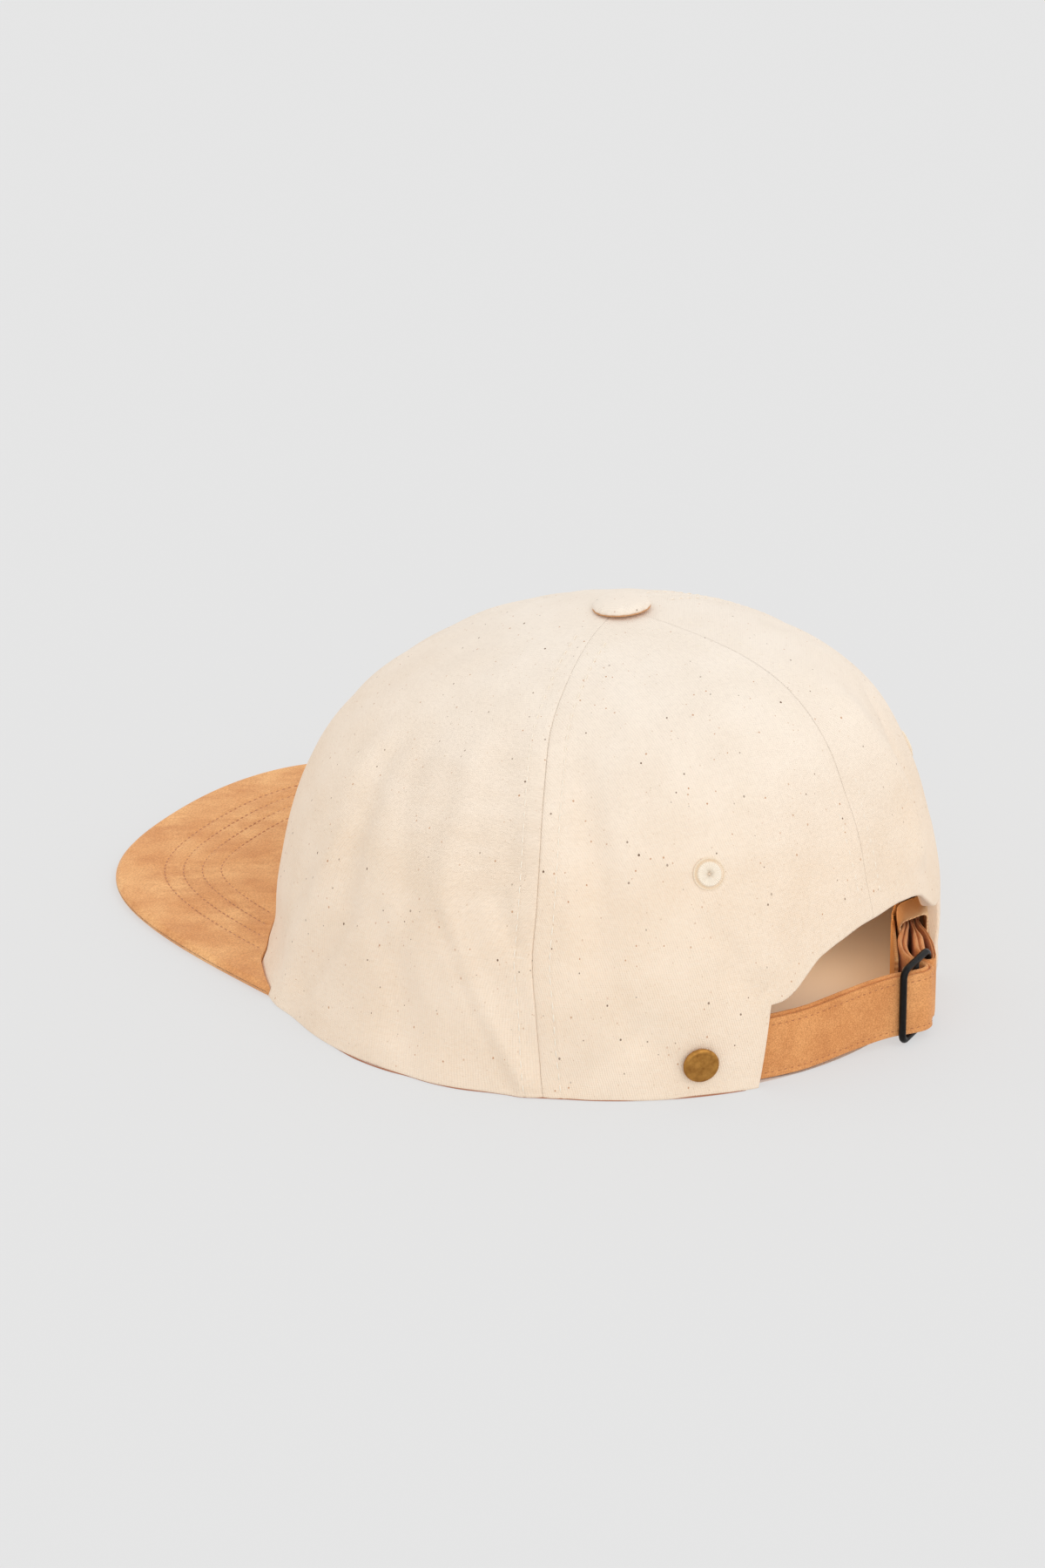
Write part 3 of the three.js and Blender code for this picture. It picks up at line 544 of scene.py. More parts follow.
class Nodes:
    """A short way to write the nodes of a material or a world."""

    def __init__(self, owner, shader="Principled BSDF"):
        owner.use_nodes = True
        self.owner = owner
        self.tree = owner.node_tree
        self.shader = self.tree.nodes[shader]

    def node(self, kind, values=None, **settings):
        made = self.tree.nodes.new("ShaderNode" + kind)
        for key, value in settings.items():
            setattr(made, key, value)
        for key, value in (values or {}).items():
            self.put(made.inputs[key], value)
        return made

    def put(self, socket, value):
        if isinstance(value, bpy.types.NodeSocket):
            self.tree.links.new(value, socket)
        else:
            socket.default_value = value

    def set(self, **values):
        """Sets the shader's sockets, constants straight on the socket."""
        for key, value in values.items():
            self.put(self.shader.inputs[key.replace("_", " ")], value)

    def math(self, operation, *values):
        made = self.node("Math", operation=operation)
        for socket, value in zip(made.inputs, values):
            self.put(socket, value)
        return made.outputs[0]

    def plus(self, first, second):
        return self.math("ADD", first, second)

    def times(self, first, second):
        return self.math("MULTIPLY", first, second)

    def wave(self, value, length):
        return self.math("SINE", self.times(value, 2 * math.pi / length))

    def noise(self, place, scale, detail=2.0, roughness=0.5):
        values = {"Vector": place, "Scale": scale, "Detail": detail, "Roughness": roughness}
        return self.node("TexNoise", values).outputs["Fac"]

    def scaled(self, place, factors):
        made = self.node("VectorMath", operation="MULTIPLY")
        self.put(made.inputs[0], place)
        made.inputs[1].default_value = factors
        return made.outputs[0]

    def millimetres(self):
        """The place on the object in millimetres."""
        return self.scaled(self.node("TexCoord").outputs["Object"], (1000, 1000, 1000))

    def grain(self):
        return self.node("Attribute", attribute_name="cloth").outputs["Vector"]

    def parts(self, vector):
        return list(self.node("SeparateXYZ", {"Vector": vector}).outputs)

    def remap(self, value, low, high, to_low=0.0, to_high=1.0):
        ends = {"From Min": low, "From Max": high, "To Min": to_low, "To Max": to_high}
        return self.node("MapRange", {"Value": value, **ends}).outputs["Result"]

    def mix(self, factor, first, second, blend="MIX"):
        values = {"Factor": factor, "A": first, "B": second}
        return self.node("Mix", values, data_type="RGBA", blend_type=blend).outputs["Result"]

    def tint(self, colour, value, low, high, share, other):
        """Mixes in a share of another colour, in sRGB, as a value goes from low to high."""
        return self.mix(self.remap(value, low, high, 0, share), colour, linear(*other))

    def bump(self, height, distance, strength=1.0, below=None):
        values = {"Height": height, "Distance": distance, "Strength": strength}
        if below is not None:
            values["Normal"] = below
        return self.node("Bump", values).outputs["Normal"]


def new_nodes(name):
    return Nodes(bpy.data.materials.new(name))


def cotton_material():
    nodes = new_nodes("cotton_twill")
    grain, place = nodes.grain(), nodes.millimetres()
    fine = nodes.noise(grain, 1.1)
    patch = nodes.remap(nodes.noise(grain, 0.06, 3), 0.35, 0.65)
    # Painted light and shade: the cloth is painted paler and cooler towards the top, where more light falls,
    # and darker and warmer low down
    low = nodes.mix(patch, linear(239, 216, 191), linear(244, 223, 200))
    high = nodes.mix(patch, linear(239, 226, 211), linear(243, 231, 217))
    colour = nodes.mix(nodes.remap(nodes.parts(place)[2], 55, 98), low, high)
    colour = nodes.tint(colour, fine, 0.3, 0.7, 0.3, (247, 234, 217))

    # Steep twill ribs, crossed by the yarns and broken up a little; besides their bump, the colour is
    # darkened in the grooves between them as painted shade
    across, up, _ = nodes.parts(grain)
    lean = nodes.times(up, TWILL["lean"])
    wander = nodes.times(nodes.noise(grain, 0.3), 0.8)
    rib = nodes.wave(nodes.plus(nodes.plus(across, lean), wander), TWILL["rib"])
    yarn = nodes.times(nodes.wave(up, TWILL["yarn"]), 0.5)
    broken = nodes.remap(nodes.noise(grain, 0.8), 0.35, 0.65, 0.4, 1.2)
    weave = nodes.times(nodes.plus(rib, yarn), broken)
    painted_rib_shade = nodes.remap(weave, -1.5, 1.5, 0.95, 1.03)
    grey = nodes.node("CombineColor", {"Red": painted_rib_shade, "Green": painted_rib_shade, "Blue": painted_rib_shade}).outputs[0]
    colour = nodes.mix(1.0, colour, grey, "MULTIPLY")

    # Slubs: threads that are a little lighter over a short stretch
    slub = nodes.noise(nodes.scaled(grain, (0.25, 2.6, 1)), 1.0, 1)
    colour = nodes.tint(colour, slub, 0.62, 0.8, 0.3, (250, 240, 226))

    # Flecks of seed husk, from sparse dark ones to many pale ones
    for fleck in FLECKS:
        stretched = nodes.scaled(place, (1, 1, fleck["stretch"]))
        values = {"Vector": stretched, "Scale": 1 / fleck["cell"]}
        cells = nodes.node("TexVoronoi", values, voronoi_dimensions="3D")
        pick = nodes.node("SeparateColor", {"Color": cells.outputs["Color"]})
        size = nodes.remap(pick.outputs["Green"], 0, 1, 0.45, 1.3)
        reach = nodes.times(fleck["radius"] / fleck["cell"], size)
        near = nodes.math("LESS_THAN", cells.outputs["Distance"], reach)
        there = nodes.math("LESS_THAN", pick.outputs["Red"], fleck["share"])
        strength = nodes.remap(pick.outputs["Blue"], 0, 1, *fleck["strength"])
        weight = nodes.times(nodes.times(near, there), strength)
        colour = nodes.mix(weight, colour, linear(*fleck["colour"]))

    nodes.set(Base_Color=colour, Roughness=0.92, Sheen_Weight=0.1, Sheen_Roughness=0.5)
    nodes.set(Specular_IOR_Level=0.2)
    nodes.set(Normal=nodes.bump(fine, 0.00014, 0.4, nodes.bump(weave, 0.00006, 0.6)))
    return nodes.owner


def suede_material(name, colours, grain_size, grain_depth):
    """Suede from its light, dark and brushed colours, with a fine nap."""
    light, dark, brushed_colour = colours
    nodes = new_nodes(name)
    place = nodes.millimetres()
    patches = nodes.noise(place, 0.055, 4, 0.55)
    turned_place = nodes.node("VectorRotate", {"Vector": place, "Angle": -2.2}).outputs[0]
    brushed = nodes.noise(nodes.scaled(turned_place, (0.42, 1.0, 0.6)), 0.22, 5, 0.66)
    grain = nodes.noise(place, 1 / grain_size, 3, 0.75)
    colour = nodes.mix(nodes.remap(patches, 0.36, 0.64), linear(*dark), linear(*light))
    colour = nodes.tint(colour, brushed, 0.42, 0.66, 0.6, brushed_colour)
    colour = nodes.tint(colour, grain, 0.42, 0.66, grain_depth, (160, 98, 56))
    colour = nodes.tint(colour, grain, 0.5, 0.3, grain_depth * 0.6, (250, 196, 132))
    nodes.set(Base_Color=colour, Roughness=0.95, Sheen_Weight=0.2, Sheen_Roughness=0.4)
    nodes.set(Specular_IOR_Level=0.1, Normal=nodes.bump(grain, 0.0002, 0.7))
    return nodes.owner


def tape_material(name, light, dark, rib_width):
    """Ribbed tape, with painted shade in the grooves between its ribs and painted light that makes the far
    side of its ring a little paler.
    """
    nodes = new_nodes(name)
    grain = nodes.grain()
    across, along, painted_light_side = nodes.parts(grain)
    rib = nodes.wave(nodes.plus(across, nodes.times(along, 0.55)), rib_width)
    fine = nodes.noise(grain, 1.6)
    # Painted shade: the ribs are coloured light on their crests and dark in the grooves between them,
    # besides their bump
    colour = nodes.mix(nodes.remap(rib, -1, 1), linear(*dark), linear(*light))
    colour = nodes.tint(colour, fine, 0.3, 0.7, 0.25, dark)
    # Painted light: the far side of the loop's ring is painted paler, where it catches more light
    colour = nodes.tint(colour, painted_light_side, -1.6, -2.6, 0.7, (238, 200, 156))
    nodes.set(Base_Color=colour, Roughness=0.9, Specular_IOR_Level=0.2)
    nodes.set(Normal=nodes.bump(fine, 0.0002, 0.4, nodes.bump(rib, 0.00015, 0.8)))
    return nodes.owner


def thread_material(name, colour):
    nodes = new_nodes(name)
    fibre = nodes.noise(nodes.millimetres(), 3.5)
    darker = [c * 0.86 for c in colour]
    nodes.set(Base_Color=nodes.tint(linear(*colour), fibre, 0.3, 0.7, 0.4, darker))
    nodes.set(Roughness=0.8, Normal=nodes.bump(fibre, 0.0001, 0.5))
    return nodes.owner


def eyelet_material():
    """Satin stitches round a small hole, from the place on the eyelet, with painted shade: the radial
    stitches lighter and darker, a darker ring round their outer edge and a darker hole.
    """
    nodes = new_nodes("eyelet_thread")
    place = nodes.grain()
    x, y, _ = nodes.parts(place)
    squares = nodes.plus(nodes.times(x, x), nodes.times(y, y))
    radius = nodes.math("SQRT", squares)
    turn = nodes.times(nodes.math("ARCTAN2", y, x), 34.0)
    wander = nodes.times(nodes.noise(place, 0.5), 3.0)
    spokes = nodes.math("SINE", nodes.plus(turn, wander))
    # Painted shade: the radial stitches are coloured lighter and darker, a darker ring lies round their
    # outer edge, where they cast shadow, and the hole in the middle is darker
    colour = nodes.mix(nodes.remap(spokes, -1, 1), linear(241, 225, 203), linear(250, 238, 220))
    colour = nodes.tint(colour, radius, 3.1, 3.5, 1, (234, 211, 182))
    colour = nodes.tint(colour, radius, 3.9, 4.3, 1, (240, 222, 198))
    colour = nodes.tint(colour, radius, 0.45, 0.15, 1, (206, 160, 116))
    nodes.set(Base_Color=colour, Roughness=0.75, Normal=nodes.bump(spokes, 0.0001, 0.5))
    return nodes.owner


def brass_material():
    nodes = new_nodes("aged_brass")
    place = nodes.millimetres()
    tarnish = nodes.noise(place, 0.5, 4, 0.6)
    colour = nodes.mix(nodes.remap(tarnish, 0.35, 0.7), linear(190, 138, 70), linear(150, 102, 48))
    nodes.set(Base_Color=colour, Metallic=1.0, Roughness=nodes.remap(tarnish, 0.3, 0.7, 0.3, 0.5))
    nodes.set(Normal=nodes.bump(nodes.noise(place, 6), 0.00003, 0.4))
    return nodes.owner


def wire_material():
    nodes = new_nodes("black_wire")
    place = nodes.millimetres()
    wear = nodes.noise(place, 0.9, 3)
    nodes.set(Base_Color=nodes.mix(nodes.remap(wear, 0.4, 0.7), linear(13, 12, 11), linear(22, 20, 18)))
    nodes.set(Roughness=nodes.remap(wear, 0.3, 0.7, 0.26, 0.4), Specular_IOR_Level=0.15)
    nodes.set(Normal=nodes.bump(nodes.noise(place, 4), 0.00004, 0.3))
    return nodes.owner


# Camera and studio

def direction(azimuth, elevation):
    a, e = math.radians(azimuth), math.radians(elevation)
    return np.array([math.sin(a) * math.cos(e), -math.cos(a) * math.cos(e), math.sin(e)])


def camera_axes():
    back = direction(CAMERA_AZIMUTH, CAMERA_ELEVATION)
    right = direction(CAMERA_AZIMUTH + 90, 0)
    return right, np.cross(back, right), back


def make_camera():
    right, up, back = camera_axes()
    top = np.array([0, 0, CROWN_HEIGHT])
    depth = CAMERA_DISTANCE - top @ back
    over = top @ right - (TOP_PIXEL[0] - PICTURE[0] / 2) * depth / FOCAL_PIXELS
    above = top @ up + (TOP_PIXEL[1] - PICTURE[1] / 2) * depth / FOCAL_PIXELS
    centre = (back * CAMERA_DISTANCE + right * over + up * above) * MM + AXIS
    data = bpy.data.cameras.new("camera")
    data.lens = FOCAL_PIXELS * SENSOR / PICTURE[1]
    data.sensor_width = SENSOR
    data.clip_start, data.clip_end = 0.05, 30
    camera = link_object("camera", data)
    rows = [[*row, centre[k]] for k, row in enumerate(np.stack([right, up, back], 1))]
    camera.matrix_world = Matrix([*rows, [0, 0, 0, 1]])
    bpy.context.scene.camera = camera


def sun_light(name, azimuth, elevation, strength, spread):
    out = Vector(direction(azimuth, elevation))
    data = bpy.data.lights.new(name, "SUN")
    data.energy, data.angle = strength, math.radians(spread)
    light = link_object(name, data)
    light.location = Vector(AXIS) * MM + out
    light.rotation_mode = "QUATERNION"
    light.rotation_quaternion = out.to_track_quat("Z", "Y")


def bounce_light(name, place, radius, power, colour):
    """Light thrown about inside the hollow by the pale cloth."""
    data = bpy.data.lights.new(name, "POINT")
    data.shadow_soft_size, data.energy, data.color = radius * MM, power, colour
    light = link_object(name, data)
    light.location = Vector(place) * MM + Vector(AXIS)
    light.visible_camera = False


def floor_disc(name, inner, outer, material, segments=128):
    """A level ring, or a whole disc where its inner radius is 0."""
    rings = [level_ring(radius, FLOOR["level"], segments) for radius in (inner, outer) if radius]
    faces = grid_faces(2, segments, ringed=True) if inner else [list(range(segments))]
    new_object(name, np.concatenate(rings), faces, material, smooth=False)


def make_studio():
    room = Nodes(bpy.data.worlds.new("studio"), "Background")
    height = room.parts(room.node("TexCoord").outputs["Generated"])[2]
    room.set(Color=(1, 1, 1, 1), Strength=room.remap(height, 0, 1, ROOM["horizon"], ROOM["zenith"]))
    bpy.context.scene.world = room.owner
    bpy.context.scene.view_settings.view_transform = "Standard"
    outside, inside = new_nodes("floor_outside"), new_nodes("floor_inside")
    outside.set(Base_Color=linear(*[FLOOR["grey"]] * 3), Roughness=1.0, Specular_IOR_Level=0.0)
    outside.set(Emission_Color=(1, 1, 1, 1), Emission_Strength=FLOOR["glow"])
    inside.set(Base_Color=linear(226, 222, 218), Roughness=1.0, Specular_IOR_Level=0.0)
    floor_disc("floor", FLOOR["inside"], FLOOR["outside"], outside.owner)
    floor_disc("floor_under_the_crown", 0, FLOOR["inside"], inside.owner)
    for sun in SUNS:
        sun_light(**sun)
    for bounce in BOUNCES:
        bounce_light(**bounce)


# Cloth panels

def along_seam(length, step):
    """Places along a width that are close together near both ends, as shares of it."""
    near = np.array(SEAM_SIDE)
    middle = np.linspace(near[-1], length - near[-1], max(int((length - 2 * near[-1]) / step), 2) + 1)
    return np.concatenate([near, middle[1:-1], (length - near)[::-1]]) / length


def seam_relief(away, height, radius):
    """Rise of the cloth at a distance from a seam: groove, seam allowance, stitch row and puckers."""
    calm = smoothstep(radius, *SEAM_CALM)
    low = blend(SEAM_GROOVE["at_rim"], 1, smoothstep(height, 1, 7))
    groove = -SEAM_GROOVE["depth"] * bell(away, SEAM_GROOVE["width"])
    past_edge = np.minimum((away - SEAM_ALLOWANCE["width"]) * SEAM_ALLOWANCE["edge"], 50)
    band = SEAM_ALLOWANCE["rise"] / (1 + np.exp(past_edge)) * (1 - bell(away, SEAM_ALLOWANCE["from"]))
    dimple = -STITCH_DIMPLE["depth"] * bell(away - STITCH_OFFSET, STITCH_DIMPLE["width"])
    wave = np.sin(2 * np.pi * height / PUCKER["length"])
    puckers = PUCKER["depth"] * wave * bell(away, PUCKER["reach"])
    return groove * blend(SEAM_GROOVE["at_top"], 1, calm) * low + (band + dimple + puckers) * calm


def small_waves(angle, height, radius):
    """Slight unevenness of soft cloth, from a few crossing waves that calm down near the top."""
    x, y = np.radians(angle) * 90, height
    waves = 0.22 * np.sin(x / 7.3 + 1.3 * np.sin(y / 19.0)) * np.sin(y / 11.0 + 0.8)
    waves += 0.14 * np.sin(x / 3.9 - y / 8.7 + 2.1 * np.sin(x / 31.0))
    waves += 0.1 * np.sin(x / 5.1 + y / 4.6)
    return waves * smoothstep(radius, 14, 55)


def edge_round(away):
    """How far a surface draws in at a distance from the cloth's folded edge."""
    near = np.clip(EDGE_ROUND - away, 0, EDGE_ROUND)
    return EDGE_ROUND - np.sqrt(EDGE_ROUND**2 - near**2)


def panel_grid(from_seam, to_seam, border, top_shares):
    """Angle and t of a panel between two seams over a lower border of [angle, t]."""
    border_angle, border_t = np.array(border, float).T
    v = np.concatenate([RIM_SIDE, np.linspace(RIM_SIDE[-1], 1, PANEL_GRID["rows"])[1:]])
    t = blend(border_t[:, None], TOP_T, v)
    start, end = SEAMS[from_seam](border_t), SEAMS[to_seam](border_t)
    border_share = (border_angle - start) / (end - start)
    border_share[0], border_share[-1] = 0, 1
    share = blend(border_share[:, None], top_shares[:, None], v)
    half = np.degrees(SEAM_GAP / 2 / profile(LEFT_SEAM, t)[0])
    low, high = SEAMS[from_seam](t) + half, SEAMS[to_seam](t) - half
    return blend(low, high, share), t


def cloth_grain(angle, t, centre):
    """Place on the flat cloth: wound round the walls and laid over the top, as [across, up, 0]."""
    radius, height = profile(angle, t)
    steps = np.linspace(0, 1, 400)
    lengths = run_lengths(np.stack(profile(centre, steps), 1))
    turn = np.radians(angle - centre)
    over = smoothstep(height, *CLOTH_OVER_TOP)
    across = radius * (turn * (1 - over) + np.sin(turn) * over)
    up = np.interp(t, steps, lengths) * (1 - over) + (lengths[-1] - radius * np.cos(turn)) * over
    return np.stack([across + centre * 7, up, 0 * up], -1)


def make_panel(name, angle, t, seams, hem, grain_angle, material):
    """One panel, with its cut's width, length and area. hem is the stretch of its border with a hem."""
    radius, height = profile(angle, t)
    outer = crown_point(angle, t)
    normal = crown_normal(angle, t)
    relief = small_waves(angle, height, radius)
    for seam in seams:
        away = np.abs(angle - SEAMS[seam](t)) * np.radians(1) * radius
        relief += SEAM_STRENGTH[seam] * seam_relief(away, height, radius)
    if hem:
        from_edge = nearest_on(outer[hem[0]:hem[1] + 1, 0], outer)
        relief -= HEM["depth"] * bell(from_edge - HEM["from_edge"], HEM["width"])
        relief += HEM["rise"] * (1 - smoothstep(from_edge, HEM["from_edge"], HEM["from_edge"] + 1.2))
    outer = outer + normal * relief[..., None]
    thickness = np.full(angle.shape, CLOTH)
    if name == "right_back_panel":
        from_end = np.abs(angle - OPENING_CENTRE - TAB_TOP)
        at_end = 1 - smoothstep(from_end, TAB_HEM["near"], TAB_HEM["far"])
        thickness += TAB_HEM["extra"] * at_end * smoothstep(height, TAB_HEM["low"], TAB_HEM["high"])
    inner = outer - normal * thickness[..., None]
    drawn = edge_round(nearest_on(outer[:, 0], outer))[..., None]
    outer = outer - normal * drawn
    inner = inner + normal * np.minimum(drawn, CLOTH - EDGE_ROUND - 0.05)
    for side in (outer, inner):
        side[..., 2] = np.maximum(side[..., 2], ABOVE_FLOOR)
    grain = cloth_grain(angle, t, grain_angle).reshape(-1, 3)
    cloth = np.concatenate([grain, grain + [3.1, 1.7, 40]])
    piece = make_piece(name, closed_shell(outer, inner), material, cloth)
    across, up = outer[1:, :-1] - outer[:-1, :-1], outer[:-1, 1:] - outer[:-1, :-1]
    area = float(np.linalg.norm(np.cross(across, up), axis=-1).sum()) * MM**2
    return piece, [float(reach) * MM for reach in np.ptp(grain[:, :2], axis=0)], area


def arch_height(angle):
    """Height of the rear opening, a smooth curve through the arch's table."""
    offset = np.abs(np.asarray(angle, float) - OPENING_CENTRE)
    places, heights = np.array(ARCH, float).T
    index = np.clip(np.searchsorted(places, offset), 1, len(places) - 1)
    value = np.concatenate([heights[1:2], heights, heights[-1:]])
    u = (offset - places[index - 1]) / (places[index] - places[index - 1])
    return catmull_rom(*(value[index + step] for step in (-1, 0, 1, 2)), u)


def back_border(seam_at_rim, side):
    """A back panel's lower border of [angle, t]: rim, tab end, arch. Also how many places are on the rim."""
    corner = OPENING_CENTRE + side * TAB_TOP
    foot = OPENING_CENTRE + side * TAB_FOOT[side]
    per_degree = math.radians(1) * PANEL_RADIUS["back"]
    shares = along_seam(abs(foot - seam_at_rim) * per_degree, PANEL_GRID["rim"])
    rim = [[a, 0] for a in blend(seam_at_rim, foot, shares[:-1])]
    corner_t = float(height_to_t(corner, arch_height(corner)))
    steps = PANEL_GRID["tab_steps"]
    edge = [[blend(foot, corner, s), corner_t * s] for s in np.arange(steps) / steps]
    near = along_seam(abs(BACK_SEAM - corner) * per_degree, PANEL_GRID["arch"])
    arch = [[a, float(height_to_t(a, arch_height(a)))] for a in blend(corner, BACK_SEAM, near)]
    return rim + edge + arch, len(rim)


def make_panels(material):
    low = RIGHT_SEAM - 360
    shares = along_seam(math.radians(LEFT_SEAM - low) * PANEL_RADIUS["front"], PANEL_GRID["front"])
    border = [[a, 0] for a in blend(low, LEFT_SEAM, shares)]
    angle, t = panel_grid("right_low", "left", border, shares)
    made = [make_panel("front_panel", angle, t, ["right_low", "left"], None, 0, material)]
    for name, seam_at_rim, side in (("left_back_panel", LEFT_SEAM, -1), ("right_back_panel", RIGHT_SEAM, 1)):
        border, rim_count = back_border(seam_at_rim, side)
        seams, hem = ["left", "back"], [rim_count, len(border) - 1]
        if side > 0:
            border, seams = border[::-1], ["back", "right"]
            hem = [0, len(border) - 1 - rim_count]
        angle, t = panel_grid(*seams, border, np.linspace(0, 1, len(border)))
        middle = (seam_at_rim + BACK_SEAM) / 2
        made.append(make_panel(name, angle, t, seams, hem, middle, material))


# Peak

def peak_half(side, steps):
    """Half of the peak's outer edge, a cubic curve from its corner to its tip."""
    radius = float(SIZE_AT["rim"](PEAK_CORNER_ANGLE)) + PEAK_CORNER_WIDTH
    corner = radius * direction(PEAK_CORNER_ANGLE, 0)[:2]
    tip = [0, -PEAK_TIP]
    controls = np.array([corner, PEAK_CORNER_PULL[side], [PEAK_TIP_PULL[side], -PEAK_TIP], tip])
    u = np.linspace(0, 1, steps + 1)[:, None]
    weights = [(1 - u) ** 3, 3 * u * (1 - u) ** 2, 3 * u**2 * (1 - u), u**3]
    return sum(weight * control for weight, control in zip(weights, controls))


def peak_outline(steps=48):
    right = peak_half("right", steps)[:-1] * [-1, 1]
    outline = np.concatenate([right, peak_half("left", steps)[::-1]])
    turn = math.radians(PEAK_TURN)
    spin = np.array([[math.cos(turn), math.sin(turn)], [-math.sin(turn), math.cos(turn)]])
    return outline @ spin


def offset_route(outline, distance):
    """The route that runs inside an outline at a distance, on to the crown at both ends."""
    outline = even_route(outline, spacing=1)
    onward = np.arange(1, PEAK_ROWS["onward"] + 1)[:, None]
    before = outline[0] + (outline[0] - outline[1]) * onward[::-1]
    after = outline[-1] + (outline[-1] - outline[-2]) * onward
    outline = np.concatenate([before, outline, after])
    route = outline - beside(outline) * distance
    foot = SIZE_AT["rim"](np.degrees(np.arctan2(route[:, 0], -route[:, 1])))
    clear = nearest_on(outline, route) > distance - PEAK_ROWS["slack"]
    return route[(np.hypot(*route.T) > foot - PEAK_ROWS["slack"]) & clear]


def make_peak(material, thread):
    outline = peak_outline()
    edge = even_route(outline, spacing=1)
    count = np.arange(len(edge))
    edge = sample(edge, count, np.linspace(0, len(edge) - 1, PEAK_GRID["columns"]))
    angle = PEAK_TURN + np.linspace(-PEAK_CORNER_ANGLE, PEAK_CORNER_ANGLE, PEAK_GRID["columns"])
    foot = crown_point(angle, np.zeros(len(angle)))[:, :2]
    root = foot * (1 - PEAK_SEWN_IN / np.linalg.norm(foot, axis=1, keepdims=True))
    width = np.linalg.norm(edge - root, axis=1)[:, None]
    share = np.linspace(0, 1, PEAK_GRID["rows"])[None] * np.maximum(1 - 1.9 / width, 0.1)
    share = np.concatenate([share, 1 - np.array(PEAK_GRID["near_edge"])[::-1] / np.maximum(width, 2)], 1)
    plan = blend(root[:, None], edge[:, None], share[..., None])
    outside = np.where(share >= 1 - 1e-6, 0, nearest_on(outline, plan))
    drop = PEAK_THICKNESS / 2 * (1 - np.sqrt(1 - (1 - np.clip(outside / PEAK_EDGE, 0, 1)) ** 2))
    drop += PEAK_WELT["depth"] * bell(outside - PEAK_WELT["from_edge"], PEAK_WELT["width"])
    routes = [offset_route(outline, PEAK_ROWS["first"] + PEAK_ROWS["spacing"] * k)
              for k in range(PEAK_ROWS["count"])]
    away = np.min([nearest_on(route, plan) for route in routes], axis=0)
    x, y = plan[..., 0], plan[..., 1]
    uneven = 0.1 * np.sin(x / 6.1 + np.sin(y / 9)) * np.sin(y / 7.3) * np.clip(outside / 4, 0, 1)
    level = PEAK_THICKNESS - drop - PEAK_GROOVE["depth"] * bell(away, PEAK_GROOVE["width"]) + uneven
    top = np.concatenate([plan, level[..., None]], -1)
    bottom = np.concatenate([plan, np.maximum(drop, ABOVE_FLOOR)[..., None]], -1)
    make_piece("peak", closed_shell(top[:, ::-1], bottom[:, ::-1]), material)
    rows_of_thread = []
    for route in routes:
        line = even_route(route, spacing=0.4)
        level = np.full((len(line), 1), PEAK_THICKNESS - PEAK_GROOVE["depth"] + 0.05)
        rows_of_thread.append((np.concatenate([line, level], 1), np.tile(UP, (len(line), 1))))
    stitches("peak_stitches", rows_of_thread, thread, "tan_suede", **THREADS["peak"])


# Stitches

def stitches(name, routes, material, slot, length, gap, radius, rise):
    """Short threads along routes of (points, normals) on a surface, joined into one mesh."""
    sides, rings = 6, 7
    bow = np.sin(np.linspace(0, np.pi, rings))
    thick = radius * np.maximum(np.sqrt(np.clip(bow, 0, 1)), 0.25)[:, None]
    bars = []
    for route, normals in routes:
        lengths = run_lengths(route)
        for k in range(int(lengths[-1] // (length + gap))):
            at = k * (length + gap) + gap / 2 + np.linspace(0, length, rings)
            centre, out = sample(route, lengths, at), unit(sample(normals, lengths, at))
            side = unit(np.cross(out, unit(np.gradient(centre, axis=0))))
            middle = centre + out * (bow * rise - (1 - bow) * radius * 0.8)[:, None]
            bars.append(round_bar(middle, thick, side, out * 0.8, sides))
    make_piece(name, joined(bars), material, extra=True)


def seam_stitches(thread):
    routes = []
    for seam in ("left", "right", "back"):
        low = SEAM_ROWS["low_back" if seam == "back" else "low"]
        level = np.linspace(low, SEAM_ROWS["high"], 240)
        radius, height = profile(SEAMS[seam](level), level)
        keep = radius > SEAM_ROWS["to_radius"]
        level, height, radius = level[keep], height[keep], radius[keep]
        for side in (-1, 1):
            angle = SEAMS[seam](level) + side * np.degrees(STITCH_OFFSET / radius)
            normal = crown_normal(angle, level)
            away = np.full(angle.shape, STITCH_OFFSET)
            lift = SEAM_ROWS["lift_back"] if seam == "back" else SEAM_ROWS["lift"]
            lift = lift + SEAM_STRENGTH[seam] * seam_relief(away, height, radius)
            lift = lift + small_waves(angle, height, radius)
            routes.append((crown_point(angle, level) + normal * lift[:, None], normal))
    stitches("seam_stitches", routes, thread, "cotton_thread", **THREADS["seam"])


# Small parts on the crown

def on_crown(points, angle, height, lift, tip=0):
    """Sets points on the crown, tipped down by an angle in degrees."""
    angle = np.array([angle], float)
    t = height_to_t(angle, height)
    normal = Vector(crown_normal(angle, t)[0])
    start = Vector(crown_point(angle, t)[0]) + normal * lift
    level = Vector((-normal.y, normal.x, 0)).normalized()
    turn = Matrix.Rotation(math.radians(tip), 3, level) @ normal.to_track_quat("Z", "Y").to_matrix()
    return np.array([list(turn @ Vector(p) + start) for p in points])


